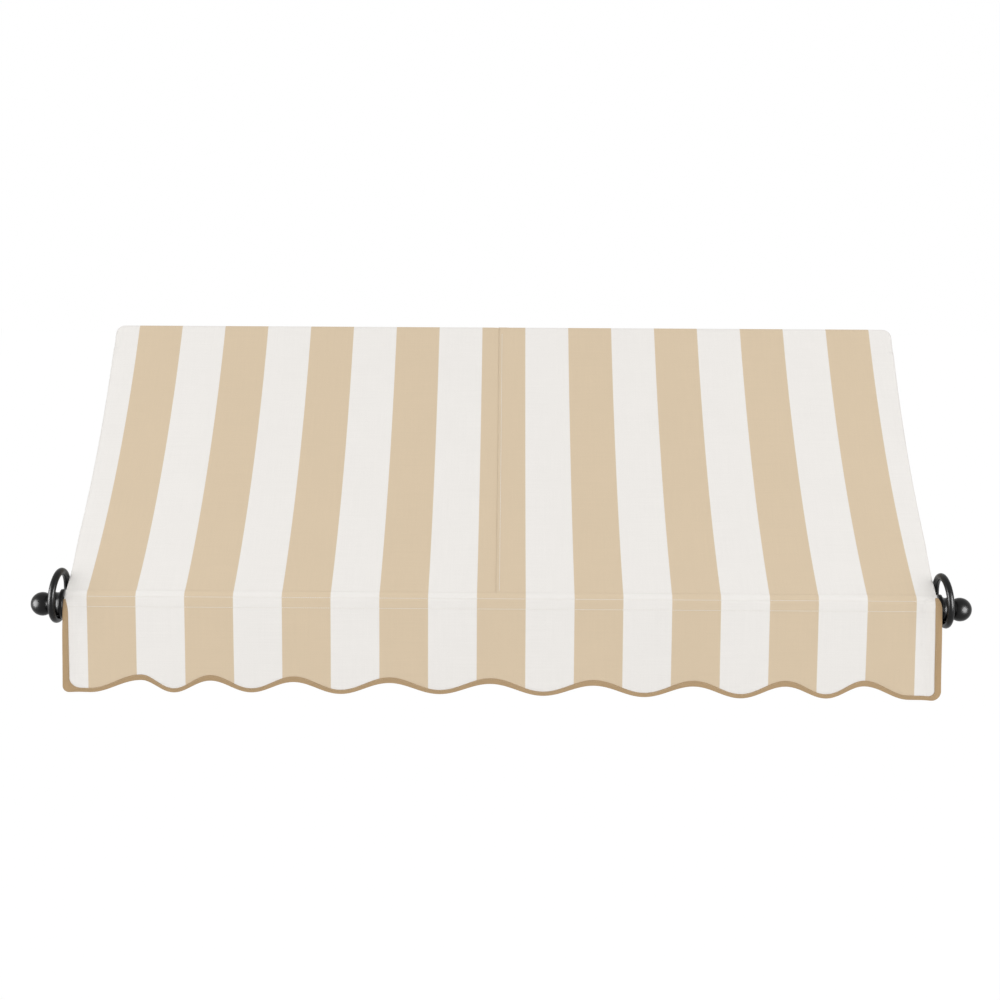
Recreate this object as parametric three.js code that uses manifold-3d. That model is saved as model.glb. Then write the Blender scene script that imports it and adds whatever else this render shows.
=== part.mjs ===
// Fixed fabric awning with its frame: a striped cover stretched from a head bar on the wall to a front
// bar whose hubs lie in the rings of two arms, with a wavy valance hanging from the front bar.
// Millimetres. The wall is the plane y = 0, the front looks along -y, x runs along the wall and z is up.
// The origin is on the back of the centre head hook, midway between its two screw holes.

import * as THREE from "three";
import { mergeVertices } from "three/addons/utils/BufferGeometryUtils.js";
import Module from "manifold-3d";

const wasm = await Module();
wasm.setup();

// Overall sizes
const coverWidth = 1524; // valance, end to end
const projection = 610; // wall to the front face of the valance
const barDrop = 436; // head bar axis to front bar axis
const valanceDrop = 152; // front bar axis to the lowest edge of the valance
const slopeSag = 30; // how far the slope hangs below a straight line, at mid span

// Gap between pieces that touch
const fit = 0.3;

// Cloth
const cloth = 1;
const edgeInset = 8.5; // slope and valance top are this much narrower at each end of the front bar
const edgeTuck = 4.5; // part of that inset, taken where the slope's edge passes the ring
const tuckStart = 80; // before the front bar axis
const tuckEnd = 38;
const seamGap = 0.3;
const hemReach = 60; // head bar to the start of the hem's flap, along the slope
const hemFlap = 20;
const hemLeaveAngle = -75; // where the hem leaves the head bar, in degrees
const lapBelow = 20; // degrees that the slope runs down the front of the front bar under the valance
const lapAbove = 8; // degrees that the valance's top edge stands short of the slope's line
const pocketInset = 4; // pocket ends behind the slope's edges
const hemCorner = 12; // radius of the cover's top corners, past the ends of the head bar

// Valance outline and its binding tape
const scallopCount = 9;
const scallopDepth = 20;
const scallopTaper = 0.22; // radians a scallop, how fast the scallops narrow towards the ends
const widestScallop = 0.3; // number of the widest one, counted in scallops from the middle
const scallopSteps = 6;
const endCrest = 134; // last crest to the end of the valance
const scallopRunOut = 84; // last crest to where the lower edge is level
const runOutSteps = 4;
const cornerRadius = 14;
const flareStart = 20; // below the front bar axis, where the ends start to widen
const flareLength = 40;
const tapeThickness = 0.8;
const tapeWidth = 10;

// Bars
const barDiameter = 25.4;
const barWall = 1.6;
const headBarOffset = 30; // wall to head bar axis
const headBarRise = 50; // hook's screw centre up to the head bar axis
const headBarInset = 16; // head bar ends short of the cover's edge
const plugLength = 18;
const plugFlange = 2.5;

// Head hooks
const hookWidth = 32;
const hookThickness = 4;
const hookLeg = 26; // screw centre to the foot of the hook
const hookBend = 6;
const hookFootRadius = 8;
const hookLipAngle = 65; // degrees that the hook curls up in front of the bar
const hookFromEnd = 62; // cover's edge to an end hook
const hookHoleSpacing = 24;
const hookHole = 6.6;
const notchMargin = 5; // hem cut back beside each hook
const notchRadius = 30;
const notchFrom = 10; // degrees round the head bar, from behind it to in front below it
const notchTo = -150;
const setScrew = 5;
const setScrewLength = 9;
const setScrewKey = 2.5;
const setScrewKeyDepth = 3;

// Front bar ends
const hubClear = 2.5; // cover's edge to hub
const hubFlangeRadius = 25.5;
const hubFlange = 5;
const hubSeatRadius = 22.5;
const hubSeat = 18;
const hubRound = 2.5;
const insertLength = 34;
const studDiameter = 10;
const studInBall = 14;
const ballDiameter = 41.2;
const ballOverlap = 4; // how far the ball's sphere is faced off to meet the hub

// Arms
const ringRadius = 43.4; // to the middle of its round bar
const ringBar = 10.4;
const ringLean = 4.5; // degrees, tops leaning in
const armToe = 7; // degrees, arms spreading outwards from the wall
const rodDiameter = 12.7;
const sleeveDiameter = 19;
const sleeveLength = 38;
const sleeveFloor = 5; // ring bar to the bottom of the sleeve's bore
const pinDiameter = 4;
const plateWidth = 46;
const plateHeight = 112;
const plateThickness = 6;
const plateHole = 8.5;
const plateHoleSpacing = 80;
const countersink = 3;
const socketDiameter = 27;
const socketReach = 44;
const socketFloor = 9;
const socketFlare = 5;
const socketRoot = 3.5; // socket starts inside the plate
const mouthChamfer = 2;
const boltDiameter = 6;
const boltFromWall = 29;
const boltSpotface = 11.2; // rod axis to the flats under bolt head and nut
const spotfaceWidth = 16;
const boltHead = 4;
const boltAcrossFlats = 10;
const nutHeight = 5;
const boltTail = 2;

// Finishes
const finish = (color, roughness, metalness) => () =>
  new THREE.MeshStandardMaterial({ color, roughness, metalness });
const stripedCloth = finish(0xdfd0b9, 0.9, 0);
const tapeCloth = finish(0xb79b78, 0.85, 0);
const blackMetal = finish(0x1b1b1c, 0.38, 0.6);
const zincSteel = finish(0xa7a9ab, 0.35, 0.9);
const blackPlastic = finish(0x222222, 0.6, 0);

const radians = THREE.MathUtils.degToRad;
const upright = Math.PI / 2;
const curveSteps = 5; // points along a curve, twice as many along an arc
const coverSteps = 12;
const barFacets = 32; // round each bar
const turnedFacets = 24; // round a turned piece
const holeFacets = 16; // round a screw hole, pin or plug
const hoopFacets = 10; // round the section of a ring

// Solids: closed meshes to and from the boolean library
function solid(geometry) {
  const bare = new THREE.BufferGeometry();
  bare.setAttribute("position", geometry.getAttribute("position"));
  bare.setIndex(geometry.getIndex());
  const merged = mergeVertices(bare, 1e-4);
  return new wasm.Manifold(
    new wasm.Mesh({
      numProp: 3,
      vertProperties: merged.getAttribute("position").array,
      triVerts: new Uint32Array(merged.getIndex().array),
    }),
  );
}

function surface(manifold) {
  const mesh = manifold.getMesh();
  const geometry = new THREE.BufferGeometry();
  geometry.setAttribute("position", new THREE.BufferAttribute(mesh.vertProperties, 3));
  geometry.setIndex(new THREE.BufferAttribute(mesh.triVerts, 1));
  geometry.computeVertexNormals();
  return geometry;
}

function join(first, ...others) {
  return surface(others.reduce((sum, other) => sum.add(solid(other)), solid(first)));
}

function cut(body, ...tools) {
  return surface(tools.reduce((rest, tool) => rest.subtract(solid(tool)), solid(body)));
}

function common(first, second) {
  return surface(solid(first).intersect(solid(second)));
}

// An outline carried along one axis: drawn in y and z for x, in x and z for y
const drawnInYZ = new THREE.Matrix4().makeBasis(
  new THREE.Vector3(0, 1, 0),
  new THREE.Vector3(0, 0, 1),
  new THREE.Vector3(1, 0, 0),
);

function extrude(shape, depth) {
  return new THREE.ExtrudeGeometry(shape, { depth, bevelEnabled: false, curveSegments: curveSteps });
}

function alongX(shape, from, to) {
  return extrude(shape, to - from)
    .applyMatrix4(drawnInYZ)
    .translate(from, 0, 0);
}

function alongY(shape, from, to) {
  return extrude(shape, to - from)
    .rotateX(Math.PI / 2)
    .translate(0, to, 0);
}

function alongZ(shape, from, to) {
  return extrude(shape, to - from).translate(0, 0, from);
}

// A round piece from a half profile of (radius, height) points, on the y axis
function revolve(profile, facets = turnedFacets) {
  const points = profile.map(([radius, height]) => new THREE.Vector2(radius, height));
  return new THREE.LatheGeometry(points, facets);
}

function rod(radius, from, to, facets = holeFacets) {
  return new THREE.CylinderGeometry(radius, radius, to - from, facets).translate(0, (from + to) / 2, 0);
}

// Points of a quarter round from one (radius, height) point to another, bulging away from the axis
function quarter(centreRadius, centreHeight, radius, startAngle, steps = 3) {
  return Array.from({ length: steps + 1 }, (_, i) => {
    const angle = radians(startAngle + (90 * i) / steps);
    return [centreRadius + radius * Math.cos(angle), centreHeight + radius * Math.sin(angle)];
  });
}

// A tube along x from -half to half
function tube(outer, inner, half) {
  const section = [
    [inner, -half],
    [outer, -half],
    [outer, half],
    [inner, half],
    [inner, -half],
  ];
  return revolve(section, barFacets).rotateZ(upright);
}

function hexagon(acrossFlats) {
  const corner = acrossFlats / Math.sqrt(3);
  const corners = Array.from({ length: 6 }, (_, i) => direction((i * Math.PI) / 3).multiplyScalar(corner));
  return new THREE.Shape(corners);
}

// A strip of even thickness that follows a line of points
function strip(points, thickness) {
  const side = (offset) =>
    points.map((point, i) => {
      const before = points[Math.max(i - 1, 0)];
      const after = points[Math.min(i + 1, points.length - 1)];
      const along = after.clone().sub(before).normalize();
      return new THREE.Vector2(point.x - along.y * offset, point.y + along.x * offset);
    });
  return new THREE.Shape([...side(thickness / 2), ...side(-thickness / 2).reverse()]);
}

function onCircle(centre, radius, angle) {
  return new THREE.Vector2(centre.x + radius * Math.cos(angle), centre.y + radius * Math.sin(angle));
}

function direction(angle) {
  return new THREE.Vector2(Math.cos(angle), Math.sin(angle));
}

function arc(centre, radius, from, to, clockwise) {
  return new THREE.EllipseCurve(centre.x, centre.y, radius, radius, from, to, clockwise);
}

function crossing(p, u, q, v) {
  const reach = q.clone().sub(p).cross(v) / u.cross(v);
  return p.clone().addScaledVector(u, reach);
}

function joined(curves, steps = curveSteps) {
  const path = new THREE.CurvePath();
  curves.forEach((curve) => path.add(curve));
  return path.getPoints(steps);
}

// Side profile of the cover, in y and z: layers of cloth on the two bars
const barRadius = barDiameter / 2;
const layer = cloth + fit;
const hemRadius = barRadius + fit + cloth / 2;
const pocketRadius = hemRadius;
const coverRadius = pocketRadius + layer;
const valanceRadius = coverRadius + layer;
const head = new THREE.Vector2(-headBarOffset, headBarRise);
const front = new THREE.Vector2(valanceRadius + cloth / 2 - projection, headBarRise - barDrop);
const coverEdge = coverWidth / 2;
const frontEdge = coverEdge - edgeInset;

const chordAngle = Math.atan2(front.y - head.y, front.x - head.x);
const sagAngle = Math.atan((4 * slopeSag) / head.distanceTo(front));
const headAngle = chordAngle + sagAngle;
const frontAngle = chordAngle - sagAngle;
const leaveHead = onCircle(head, hemRadius, headAngle - upright);
const meetFront = onCircle(front, coverRadius, frontAngle - upright);
const slope = new THREE.QuadraticBezierCurve(
  meetFront,
  crossing(leaveHead, direction(headAngle), meetFront, direction(frontAngle)),
  leaveHead,
);

// A point under the slope, one layer down, at a distance from the head bar
function underSlope(distance) {
  const t = 1 - distance / slope.getLength();
  const along = slope.getTangent(t);
  return slope.getPoint(t).add(new THREE.Vector2(along.y, -along.x).multiplyScalar(layer));
}

function coverProfile() {
  const leave = radians(hemLeaveAngle);
  const leavePoint = onCircle(head, hemRadius, leave);
  const leaveAlong = direction(leave - upright);
  const flapStart = underSlope(hemReach);
  const flapEnd = underSlope(hemReach + hemFlap);
  const flapAlong = flapStart.clone().sub(flapEnd).normalize();
  const pull = hemReach / 4;
  const curves = [
    arc(front, coverRadius, Math.PI + radians(lapBelow), frontAngle - upright, true),
    slope,
    arc(head, hemRadius, headAngle - upright, leave, true),
    new THREE.CubicBezierCurve(
      leavePoint,
      leavePoint.clone().addScaledVector(leaveAlong, pull),
      flapStart.clone().addScaledVector(flapAlong, pull),
      flapStart,
    ),
    new THREE.LineCurve(flapStart, flapEnd),
  ];
  return strip(joined(curves, coverSteps), cloth);
}

// The hem is cut away round each hook: a sector behind and below the head bar
function hookNotch(x) {
  const shape = new THREE.Shape();
  shape.moveTo(head.x, head.y);
  shape.absarc(head.x, head.y, notchRadius, radians(notchFrom), radians(notchTo), true);
  const half = hookWidth / 2 + notchMargin;
  return alongX(shape, x - half, x + half);
}

// The slope narrows from the head bar to the front bar: what lies outside its edge, seen from above
function outsideEdge(side) {
  const far = coverWidth;
  const shape = new THREE.Shape([
    new THREE.Vector2(side * coverEdge, 0),
    new THREE.Vector2(side * coverEdge, head.x),
    new THREE.Vector2(side * (frontEdge + edgeTuck), front.x + tuckStart),
    new THREE.Vector2(side * frontEdge, front.x + tuckEnd),
    new THREE.Vector2(side * frontEdge, -projection),
    new THREE.Vector2(side * far, -projection),
    new THREE.Vector2(side * far, 0),
  ]);
  return alongZ(shape, front.y - coverRadius * 2, head.y + coverRadius * 2);
}

// Seen from the front, the cover's top corners are rounded: what lies outside a corner
function outsideCorner(side) {
  const top = head.y + hemRadius + cloth / 2;
  const centre = new THREE.Vector2(side * (coverEdge - hemCorner), top - hemCorner);
  const shape = new THREE.Shape([
    new THREE.Vector2(side * coverWidth, centre.y),
    new THREE.Vector2(side * coverWidth, top + cloth),
    new THREE.Vector2(centre.x, top + cloth),
    ...arc(centre, hemCorner, upright, upright - side * upright, side > 0).getPoints(curveSteps * 2),
  ]);
  return alongY(shape, head.x * 2, 0);
}

const hookPlaces = [-(coverEdge - hookFromEnd), 0, coverEdge - hookFromEnd];

function coverPanel(side) {
  const inner = (side * seamGap) / 2;
  const outer = side * coverEdge;
  const sheet = alongX(coverProfile(), Math.min(inner, outer), Math.max(inner, outer));
  const notches = hookPlaces.filter((x) => x * side >= 0).map(hookNotch);
  return cut(sheet, outsideEdge(side), outsideCorner(side), ...notches);
}

function frontPocket() {
  const ring = tube(pocketRadius + cloth / 2, pocketRadius - cloth / 2, frontEdge - pocketInset);
  return ring.translate(0, front.x, front.y);
}

// Valance outline. Scallops narrow towards the ends: places go as sin((k - w) t) of the crest number k, with
// t the taper and w the widest scallop, and the lower edge follows a cosine of k. Past the last crest it
// runs out to a level end.
const lastCrest = (scallopCount - 1) / 2;
const crestReach = coverEdge - endCrest;
const crestSine = (k) => Math.sin(scallopTaper * (k - widestScallop));
const crestScale = (2 * crestReach) / (crestSine(lastCrest) - crestSine(-lastCrest));
const crestPlace = (k) => crestReach + crestScale * (crestSine(k) - crestSine(lastCrest));
const lowestEdge = front.y - valanceDrop;

function scallopPoints(grow) {
  const wave = (x, k) =>
    new THREE.Vector2(x, lowestEdge + (scallopDepth * (1 + Math.cos(2 * Math.PI * k))) / 2 - grow);
  const steps = (scallopCount - 1) * scallopSteps;
  const row = Array.from({ length: steps + 1 }, (_, i) => i / scallopSteps - lastCrest);
  const shares = Array.from({ length: runOutSteps }, (_, i) => (i + 1) / runOutSteps);
  const runOut = (side) => shares.map((s) => wave(side * (crestReach + scallopRunOut * s), s / 2));
  return [...runOut(-1).reverse(), ...row.map((k) => wave(crestPlace(k), k)), ...runOut(1)];
}

// Ends and lower edge from the top left to the top right, grown outwards by some width
function valanceEdge(grow, top) {
  const half = coverEdge + grow;
  const narrow = frontEdge + grow;
  const foot = lowestEdge - grow;
  const radius = cornerRadius + grow;
  const shoulder = front.y - flareStart;
  const end = joined([
    new THREE.LineCurve(new THREE.Vector2(-narrow, top), new THREE.Vector2(-narrow, shoulder)),
    new THREE.CubicBezierCurve(
      new THREE.Vector2(-narrow, shoulder),
      new THREE.Vector2(-narrow, shoulder - flareLength / 2),
      new THREE.Vector2(-half, shoulder - flareLength / 2),
      new THREE.Vector2(-half, shoulder - flareLength),
    ),
    arc(new THREE.Vector2(-half + radius, foot + radius), radius, Math.PI, Math.PI * 1.5, false),
  ]);
  const mirrored = end.map((p) => new THREE.Vector2(-p.x, p.y)).reverse();
  return [...end, ...scallopPoints(grow), ...mirrored];
}

const valanceTop = frontAngle - upright + radians(lapAbove);
const sheetFront = front.x - valanceRadius;

function valance() {
  const points = joined([
    arc(front, valanceRadius, valanceTop, Math.PI, false),
    new THREE.LineCurve(
      new THREE.Vector2(sheetFront, front.y),
      new THREE.Vector2(sheetFront, lowestEdge - scallopDepth),
    ),
  ]);
  const sheet = alongX(strip(points, cloth), -coverEdge, coverEdge);
  const outline = new THREE.Shape(valanceEdge(0, front.y + valanceRadius * 2));
  return common(sheet, alongY(outline, sheetFront - cloth, front.x));
}

// Tape folded round the edge of the valance, front and back
function valanceBinding() {
  const top = front.y - flareStart / 2;
  const outside = fit + tapeThickness;
  const band = new THREE.Shape([...valanceEdge(outside, top), ...valanceEdge(-tapeWidth, top).reverse()]);
  const half = cloth / 2 + outside;
  const groove = cloth / 2 + fit;
  const within = new THREE.Shape(valanceEdge(fit, front.y));
  return cut(
    alongY(band, sheetFront - half, sheetFront + half),
    alongY(within, sheetFront - groove, sheetFront + groove),
  );
}

// Head bar, its plugs, hooks and set screws
const headBarEnd = coverEdge - headBarInset;
const bore = barRadius - barWall;

function headBar() {
  return tube(barRadius, bore, headBarEnd).translate(0, head.x, head.y);
}

function headBarPlug() {
  const round = plugFlange / 2;
  return revolve(
    [
      [0, -plugLength],
      [bore - fit - round, -plugLength],
      [bore - fit, -plugLength + round],
      [bore - fit, fit],
      [barRadius, fit],
      ...quarter(barRadius - round, fit + plugFlange - round, round, 0),
      [0, fit + plugFlange],
    ],
    holeFacets,
  );
}

const hookRadius = barRadius + fit + hookThickness / 2;
const hookFace = head.y - hookRadius;

function headHook() {
  const mid = -hookThickness / 2;
  const bendCentre = new THREE.Vector2(mid - hookBend, hookFace - hookBend);
  const points = joined([
    new THREE.LineCurve(new THREE.Vector2(mid, -hookLeg), new THREE.Vector2(mid, bendCentre.y)),
    arc(bendCentre, hookBend, 0, upright, false),
    new THREE.LineCurve(new THREE.Vector2(bendCentre.x, hookFace), new THREE.Vector2(head.x, hookFace)),
    arc(head, hookRadius, -upright, -upright - radians(hookLipAngle), true),
  ]);
  const half = hookWidth / 2;
  const outline = new THREE.Shape();
  outline.moveTo(-half, head.y);
  outline.lineTo(-half, hookFootRadius - hookLeg);
  outline.absarc(hookFootRadius - half, hookFootRadius - hookLeg, hookFootRadius, Math.PI, Math.PI * 1.5);
  outline.absarc(half - hookFootRadius, hookFootRadius - hookLeg, hookFootRadius, -upright, 0);
  outline.lineTo(half, head.y);
  const rounded = common(
    alongX(strip(points, hookThickness), -half, half),
    alongY(outline, head.x * 2, hookThickness),
  );
  const holes = [-1, 1].map((up) => screwHole(hookHole, hookThickness, (up * hookHoleSpacing) / 2));
  const threadHole = rod(setScrew / 2 + fit, -hookThickness, hookThickness)
    .rotateX(upright)
    .translate(0, head.x, hookFace);
  return cut(rounded, ...holes, threadHole);
}

// A countersunk hole through a plate that lies on the wall
function screwHole(diameter, thickness, z) {
  const radius = diameter / 2;
  return revolve(
    [
      [0, -fit],
      [radius, -fit],
      [radius, thickness - countersink],
      [radius + countersink + fit, thickness + fit],
      [0, thickness + fit],
    ],
    holeFacets,
  )
    .rotateX(Math.PI)
    .translate(0, 0, z);
}

function headSetScrew() {
  const radius = setScrew / 2;
  const top = head.y - barRadius - fit;
  const body = rod(radius, -setScrewLength, 0).rotateX(upright).translate(0, head.x, top);
  const key = alongZ(hexagon(setScrewKey), -fit, setScrewKeyDepth);
  return cut(body, key.translate(0, head.x, top - setScrewLength));
}

// Front bar and the stack of pieces at each end, with heights measured from the bar's middle
const hubFace = frontEdge + hubClear;
const hubEnd = hubFace + hubFlange + hubSeat;
const studRadius = studDiameter / 2;
const ballRadius = ballDiameter / 2;
const ballFace = hubEnd + fit;
const ballCentre = ballFace + ballRadius - ballOverlap;

function frontBar() {
  return tube(barRadius, bore, hubFace - fit).translate(0, front.x, front.y);
}

function frontBarInsert() {
  const end = hubFace - fit;
  return revolve([
    [studRadius + fit, end - insertLength],
    [bore - fit, end - insertLength],
    [bore - fit, end],
    [studRadius + fit, end],
    [studRadius + fit, end - insertLength],
  ]);
}

function frontHub() {
  const flangeEnd = hubFace + hubFlange;
  const inner = studRadius + fit;
  return revolve([
    [inner, hubFace],
    ...quarter(hubFlangeRadius - hubRound, hubFace + hubRound, hubRound, -90),
    ...quarter(hubFlangeRadius - hubRound, flangeEnd - hubRound, hubRound, 0).slice(0, -1),
    [hubSeatRadius, flangeEnd],
    ...quarter(hubSeatRadius - hubRound, hubEnd - hubRound, hubRound, 0),
    [inner, hubEnd],
    [inner, hubFace],
  ]);
}

function finialStud() {
  const from = hubFace - insertLength + studRadius;
  return rod(studRadius, from, ballFace + studInBall);
}

function ballFinial() {
  const steps = 10;
  const start = Math.asin((ballFace - ballCentre) / ballRadius);
  const sphere = Array.from({ length: steps }, (_, i) => {
    const angle = start + ((Math.PI / 2 - start) * i) / steps;
    return [ballRadius * Math.cos(angle), ballCentre + ballRadius * Math.sin(angle)];
  });
  const inner = studRadius + fit;
  const holeEnd = ballFace + studInBall + fit;
  return revolve([
    [0, holeEnd],
    [inner, holeEnd],
    [inner, ballFace],
    ...sphere,
    [0, ballCentre + ballRadius],
  ]);
}

// Arms. Each lies in a group whose origin is the ring's centre and whose y axis runs to the wall.
const ringBarRadius = ringBar / 2;
const lean = radians(ringLean);
const toe = radians(armToe);
const ringPlace = new THREE.Vector3(
  hubFace + hubFlange + hubSeat / 2 - ringRadius * Math.sin(lean),
  front.x,
  front.y + ringRadius * Math.cos(lean) - ringBarRadius - hubSeatRadius - fit,
);
const wallDistance = -front.x / Math.cos(toe);
const rodRadius = rodDiameter / 2;
const sleeveBottom = ringRadius + ringBarRadius + sleeveFloor;
const sleeveEnd = ringRadius + ringBarRadius + sleeveLength;
const pinPlace = (sleeveBottom + sleeveEnd) / 2;
const boltPlace = wallDistance - boltFromWall;
const socketBottom = wallDistance - socketFloor;

function crossHole(diameter, place) {
  return rod(diameter / 2 + fit, -socketDiameter, socketDiameter)
    .rotateX(upright)
    .translate(0, place, 0);
}

function supportRing(side) {
  const hoop = new THREE.TorusGeometry(ringRadius, ringBarRadius, hoopFacets, barFacets).rotateY(
    upright - side * lean,
  );
  const radius = sleeveDiameter / 2;
  const chamfer = (radius - rodRadius) / 2;
  const sleeve = revolve([
    [0, ringRadius],
    [ringBarRadius, ringRadius],
    [radius, ringRadius + ringBarRadius * 2],
    [radius, sleeveEnd - chamfer],
    [radius - chamfer, sleeveEnd],
    [0, sleeveEnd],
  ]);
  const hole = rod(rodRadius + fit, sleeveBottom, sleeveEnd + sleeveFloor);
  return cut(join(hoop, sleeve), hole, crossHole(pinDiameter, pinPlace));
}

function armRod() {
  const body = rod(rodRadius, sleeveBottom + fit, socketBottom - fit, turnedFacets);
  return cut(body, crossHole(pinDiameter, pinPlace), crossHole(boltDiameter, boltPlace));
}

function ringPin() {
  const half = sleeveDiameter / 2;
  return rod(pinDiameter / 2, -half, half).rotateX(upright).translate(0, pinPlace, 0);
}

function wallSocket(side) {
  const toWall = (geometry) => geometry.rotateZ(-side * toe).translate(0, wallDistance, 0);
  const outline = new THREE.Shape();
  const half = plateWidth / 2;
  const straight = plateHeight / 2 - half;
  outline.absarc(0, straight, half, 0, Math.PI);
  outline.absarc(0, -straight, half, Math.PI, 2 * Math.PI);
  const plate = toWall(alongY(outline, -plateThickness, 0));
  const radius = socketDiameter / 2;
  const root = wallDistance - socketRoot;
  const flareEnd = wallDistance - plateThickness - socketFlare;
  const mouth = wallDistance - socketReach;
  const socket = revolve([
    [0, mouth],
    [radius - mouthChamfer, mouth],
    [radius, mouth + mouthChamfer],
    [radius, flareEnd - socketFlare],
    [radius + socketFlare / 3, flareEnd],
    [radius + socketFlare, root],
    [0, root],
  ]);
  const hole = rod(rodRadius + fit, mouth - socketFlare, socketBottom, turnedFacets);
  const spotfaces = [-1, 1].map((up) =>
    new THREE.BoxGeometry(spotfaceWidth, spotfaceWidth, radius).translate(
      0,
      boltPlace,
      up * (boltSpotface + radius / 2),
    ),
  );
  const holes = [-1, 1].map((up) =>
    toWall(screwHole(plateHole, plateThickness, (up * plateHoleSpacing) / 2)),
  );
  return cut(join(plate, socket), hole, ...spotfaces, ...holes, crossHole(boltDiameter, boltPlace));
}

function socketBolt() {
  const top = boltSpotface + fit;
  const tip = top + nutHeight + boltTail;
  const shank = rod(boltDiameter / 2, -tip, top + boltHead / 2).rotateX(upright);
  return join(alongZ(hexagon(boltAcrossFlats), top, top + boltHead), shank).translate(0, boltPlace, 0);
}

function socketNut() {
  const shape = hexagon(boltAcrossFlats);
  shape.holes.push(new THREE.Path().absarc(0, 0, boltDiameter / 2 + fit, 0, 2 * Math.PI));
  const top = -boltSpotface - fit;
  return alongZ(shape, top - nutHeight, top).translate(0, boltPlace, 0);
}

// Assembly
const awning = new THREE.Group();

function add(name, geometry, material, parent = awning) {
  const mesh = new THREE.Mesh(geometry, material());
  mesh.name = name;
  parent.add(mesh);
  return mesh;
}

const sides = [
  ["left", -1],
  ["right", 1],
];

add("head_bar", headBar(), blackMetal);
["left", "centre", "right"].forEach((place, i) => {
  add(`head_hook_${place}`, headHook(), blackMetal).position.x = hookPlaces[i];
  add(`head_set_screw_${place}`, headSetScrew(), zincSteel).position.x = hookPlaces[i];
});
add("front_bar", frontBar(), blackMetal);
add("front_pocket", frontPocket(), stripedCloth);
add("valance", valance(), stripedCloth);
add("valance_binding", valanceBinding(), tapeCloth);

for (const [hand, side] of sides) {
  add(`cover_panel_${hand}`, coverPanel(side), stripedCloth);

  const plug = add(`head_bar_plug_${hand}`, headBarPlug(), blackPlastic);
  plug.position.set(side * headBarEnd, head.x, head.y);
  plug.rotation.z = -side * upright;

  const barEnd = new THREE.Group();
  barEnd.position.set(0, front.x, front.y);
  barEnd.rotation.z = -side * upright;
  awning.add(barEnd);
  add(`front_bar_insert_${hand}`, frontBarInsert(), zincSteel, barEnd);
  add(`front_hub_${hand}`, frontHub(), blackMetal, barEnd);
  add(`finial_stud_${hand}`, finialStud(), zincSteel, barEnd);
  add(`ball_finial_${hand}`, ballFinial(), blackMetal, barEnd);

  const arm = new THREE.Group();
  arm.position.set(side * ringPlace.x, ringPlace.y, ringPlace.z);
  arm.rotation.z = side * toe;
  awning.add(arm);
  add(`support_ring_${hand}`, supportRing(side), blackMetal, arm);
  add(`arm_rod_${hand}`, armRod(), blackMetal, arm);
  add(`ring_pin_${hand}`, ringPin(), zincSteel, arm);
  add(`wall_socket_${hand}`, wallSocket(side), blackMetal, arm);
  add(`socket_bolt_${hand}`, socketBolt(), zincSteel, arm);
  add(`socket_nut_${hand}`, socketNut(), zincSteel, arm);
}

export default awning;
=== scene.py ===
import math

import bmesh
import bpy
import numpy as np
from mathutils import Matrix, Vector


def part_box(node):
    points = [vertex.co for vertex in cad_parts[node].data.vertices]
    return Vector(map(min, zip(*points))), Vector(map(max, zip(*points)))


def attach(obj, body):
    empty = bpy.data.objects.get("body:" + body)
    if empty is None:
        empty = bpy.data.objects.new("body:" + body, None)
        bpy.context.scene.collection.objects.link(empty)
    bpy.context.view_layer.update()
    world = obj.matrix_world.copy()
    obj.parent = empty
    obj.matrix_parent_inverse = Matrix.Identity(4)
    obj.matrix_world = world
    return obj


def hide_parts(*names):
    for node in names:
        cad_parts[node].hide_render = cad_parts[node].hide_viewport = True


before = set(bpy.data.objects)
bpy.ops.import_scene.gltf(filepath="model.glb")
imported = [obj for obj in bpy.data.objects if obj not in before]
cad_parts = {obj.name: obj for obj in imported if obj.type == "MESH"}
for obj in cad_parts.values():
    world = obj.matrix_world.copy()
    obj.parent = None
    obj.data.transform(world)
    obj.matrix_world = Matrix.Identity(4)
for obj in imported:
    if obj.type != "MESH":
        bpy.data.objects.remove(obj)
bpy.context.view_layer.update()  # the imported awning, in metres: wall at y = 0, front along -y
sides = {"left": -1, "right": 1}
mapName = "weave"  # uv map of the cloth pieces: metres across the cloth, metres along it
quarterTurn = math.pi / 2
print("frame loaded:", len(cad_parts), "nodes")


# Shader sockets as values: an operator between two of them adds a Math node
class Wire:
    def __init__(self, paint, socket):
        self.paint = paint
        self.socket = socket

    def math(self, operation, *others):
        return self.paint.math(operation, self, *others)

    def __add__(self, other):
        return self.math("ADD", other)

    def __sub__(self, other):
        return self.math("SUBTRACT", other)

    def __rsub__(self, other):
        return self.paint.math("SUBTRACT", other, self)

    def __mul__(self, other):
        return self.math("MULTIPLY", other)

    def __truediv__(self, other):
        return self.math("DIVIDE", other)

    def __rtruediv__(self, other):
        return self.paint.math("DIVIDE", other, self)

    __radd__ = __add__
    __rmul__ = __mul__


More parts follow.
